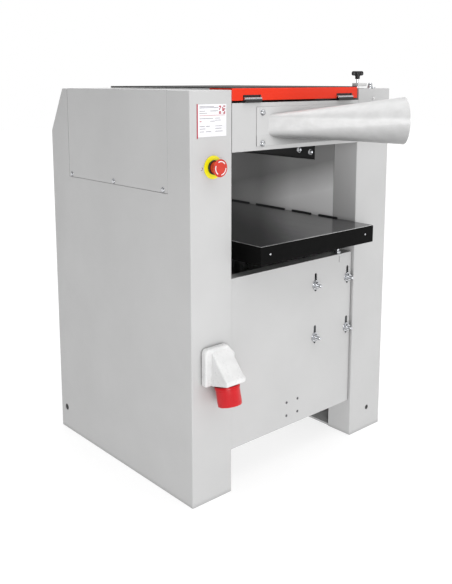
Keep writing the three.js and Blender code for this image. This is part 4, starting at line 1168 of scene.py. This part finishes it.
# ---------- planing head ----------
def make_head():
    """The rollers and the gearbox's sprocket, then the cutterhead and the anti-kickback fingers."""
    bm = bmesh.new()
    place = at(0, *OUTFEED)
    steps = 64
    span = ROLL_X[1] - ROLL_X[0]
    add_turned(bm, [(ROLL_X[0], 0), (ROLL_X[0], 33.8), (ROLL_X[0] + 1.2, 35), (ROLL_X[1] - 1.2, 35),
                    (ROLL_X[1], 33.8), (ROLL_X[1], 0)], place, X_AXIS, steps)
    add_rod(bm, (28, ROLL_X[0] + 1), 12, place, X_AXIS, 32, 1)
    add_rod(bm, (ROLL_X[1] - 1, 668), 12, place, X_AXIS, 32, 1)
    add_sprocket(bm, place, X_AXIS, (32, 40), 30, 2)
    piece("outfeed_roller_rubber", bm, [RUBBER, STEEL, CHAIN], "outfeed_roller",
          stands_for=["outfeed_roller"], angle=40)
    bm = bmesh.new()
    place = at(0, *INFEED)
    teeth = 40
    outline = []
    for k in range(teeth):
        for share, radius in ((0.0, 35.0), (0.22, 35.0), (0.5, 32.2), (0.72, 32.2)):
            angle = 2 * pi * (k + share) / teeth
            outline.append((radius * cos(angle), radius * sin(angle)))
    add_prism(bm, outline, at(ROLL_X[0], *INFEED), X_AXIS, span)
    add_rod(bm, (28, ROLL_X[0] + 1), 12, place, X_AXIS, 32)
    add_rod(bm, (ROLL_X[1] - 1, 668), 12, place, X_AXIS, 32)
    add_sprocket(bm, place, X_AXIS, (32, 40), 30, 1)
    piece("infeed_roller_steel", bm, [STEEL, CHAIN], "infeed_roller", stands_for=["infeed_roller"],
          angle=30)
    bm = add_rod(bmesh.new(), (30, 88), 12, at(0, *GEARBOX_SPROCKET), X_AXIS, 32)
    add_sprocket(bm, at(0, *GEARBOX_SPROCKET), X_AXIS, (32, 40), 30, 1)
    piece("feed_sprocket_wheel", bm, [STEEL, CHAIN], "feed_sprocket", stands_for=["feed_sprocket"],
          angle=30)
    make_cutterhead()
    make_fingers()


def add_sprocket(bm, place, axis, span, radius, index):
    """A sprocket disc with rounded teeth, inside its chain."""
    teeth = 18
    outline = []
    for k in range(teeth):
        for share, reach in ((0.0, 1.0), (0.25, 0.97), (0.5, 0.90), (0.75, 0.97)):
            angle = 2 * pi * (k + share) / teeth
            outline.append((radius * reach * cos(angle), radius * reach * sin(angle)))
    up = Z_AXIS if abs(axis.z) < 0.9 else X_AXIS
    add_prism(bm, outline, place + axis * (span[0] + 1) * MM, axis, span[1] - span[0] - 2, index, up)


def make_cutterhead():
    """The knife head: a body with a gullet in front of each knife, and its journals."""
    place = at(0, *CUTTER)
    radius = 48.0
    knives = 3
    steps = 40
    outline = []
    for k in range(knives):
        base = 2 * pi * k / knives + radians(90)
        for i in range(steps + 1):
            angle = base + radians(5) + (2 * pi / knives - radians(30)) * i / steps
            outline.append((radius * cos(angle), radius * sin(angle)))
        end = base + 2 * pi / knives
        for offset, reach in ((-22, 0.86), (-18, 0.78), (-13, 0.74)):
            angle = end + radians(offset)
            outline.append((radius * reach * cos(angle), radius * reach * sin(angle)))
    bm = add_prism(bmesh.new(), outline, at(ROLL_X[0], *CUTTER), X_AXIS, ROLL_X[1] - ROLL_X[0])
    for low, high, r in ((110, ROLL_X[0] + 1, 17), (ROLL_X[1] - 1, 660, 17), (659, 745, 14)):
        profile = [(low, 0), (low, r - 0.8), (low + 0.8, r), (high - 0.8, r), (high, r - 0.8), (high, 0)]
        add_turned(bm, profile, place, X_AXIS, 40)
    piece("cutterhead_body", bm, STEEL, "cutterhead", stands_for=["cutterhead"], angle=30)


def make_fingers():
    """The anti-kickback fingers: rounded steel dogs side by side on one shaft."""
    bm = bmesh.new()
    place = at(0, *FINGERS)
    add_rod(bm, (148, 658), 7.8, place, X_AXIS, 32, 1)
    pitch = 12.6
    count = int((ROLL_X[1] - ROLL_X[0]) / pitch)
    outline = []
    for i in range(13):
        angle = radians(-10 + 200 * i / 12)
        outline.append((11.5 * cos(angle), 11.5 * sin(angle)))
    outline += [(-8.6, -56), (-8.4, -59.6), (-4.2, -59.8), (9.6, -20)]
    for k in range(count):
        x = ROLL_X[0] + 2 + k * pitch
        add_prism(bm, [(-a, b) for a, b in outline], at(x, *FINGERS), X_AXIS, 8.0)
        add_rod(bm, (x + 8.2, x + 12.2), 9.6, place, X_AXIS, 20, 1)
    piece("kickback_finger_row", bm, [CAST, STEEL], "kickback_fingers", stands_for=["kickback_fingers"],
          angle=30)


# ---------- table lift ----------
POSTS = ((260.0, 400.0), (545.0, 400.0))


def make_lift():
    for i, (x, y) in enumerate(POSTS):
        bm = bmesh.new()
        top = TABLE_HIGH.z - 14.3
        add_tube(bm, [(285, 13.6), (285, 31), (286, 32), (top - 12, 32), (top - 12, 49), (top - 11, 50),
                      (top - 0.5, 50), (top, 49), (top, 24), (315, 24), (315, 13.6)], at(x, y, 0), Z_AXIS, 56)
        piece(f"table_post_tube_{i + 1}", bm, STEEL, "table", stands_for=[f"table_post_{i + 1}"], angle=40)
        bm = bmesh.new()
        profile = [(122, 0), (122, 10), (156.4, 10), (156.4, 12)]
        z = 157.0
        while z < 597:
            profile += [(z, 11.2), (z + 1.4, 12.9), (z + 2.2, 12.9), (z + 3.6, 11.2)]
            z += 4.4
        profile += [(599, 11.2), (600, 10), (600, 0)]
        add_turned(bm, profile, at(x, y, 0), Z_AXIS, 24)
        add_sprocket(bm, at(x, y, 0), Z_AXIS, (128, 136), 33.6, 1)
        piece(f"lift_screw_thread_{i + 1}", bm, [STEEL, CHAIN], f"lift_screw_{i + 1}",
              stands_for=[f"lift_screw_{i + 1}"], angle=30)


# ---------- carried-over CAD nodes ----------
def dress(node, coat, bevel=0.0):
    """Gives a CAD node its material and, where its edges show, a small rounding."""
    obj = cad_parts[node]
    obj.data.materials.clear()
    obj.data.materials.append(coat)
    smooth(obj.data, 24)
    if bevel:
        soften(obj, bevel, 2, 40)


def dress_frame():
    for node in ("outfeed_beam", "infeed_beam"):
        dress(node, GREY, 0.7)
    for node in ("motor_panel", "infeed_panel"):
        dress(node, PANEL, 0.7)
    for node in ("left_inner_wall", "left_foot_plate", "right_foot_plate"):
        dress(node, GREY, 0.4)
    dress("right_inner_wall", SHADED_WALL, 0.4)
    dress("base_tray", GREY)
    for node in ("left_head_casting", "right_head_casting"):
        dress(node, CAST, 0.8)
    for node in ("motor_pulley", "cutterhead_pulley"):
        dress(node, GREY_CAST, 0.4)
    dress("feed_gearbox", GREY_CAST, 1.2)
    dress("motor", MOTOR_PAINT, 1.0)
    for node in ("motor_shaft", "lift_shaft", "handwheel_shaft"):
        dress(node, STEEL)
    for node in ("knife_1", "knife_2", "knife_3"):
        dress(node, KNIFE)
    for node in ("lift_chain", "feed_chain"):
        dress(node, CHAIN)
    dress("drive_belt", RUBBER)


make_camera()
make_studio()
dress_frame()
make_columns()
make_side_cover()
make_dust_hood()
make_chip_cover()
make_clamp()
make_table()
make_panel_fasteners()
make_estop()
make_inlet()
make_rating_plate()
make_controls()
make_handwheel()
make_small_parts()
make_head()
make_lift()
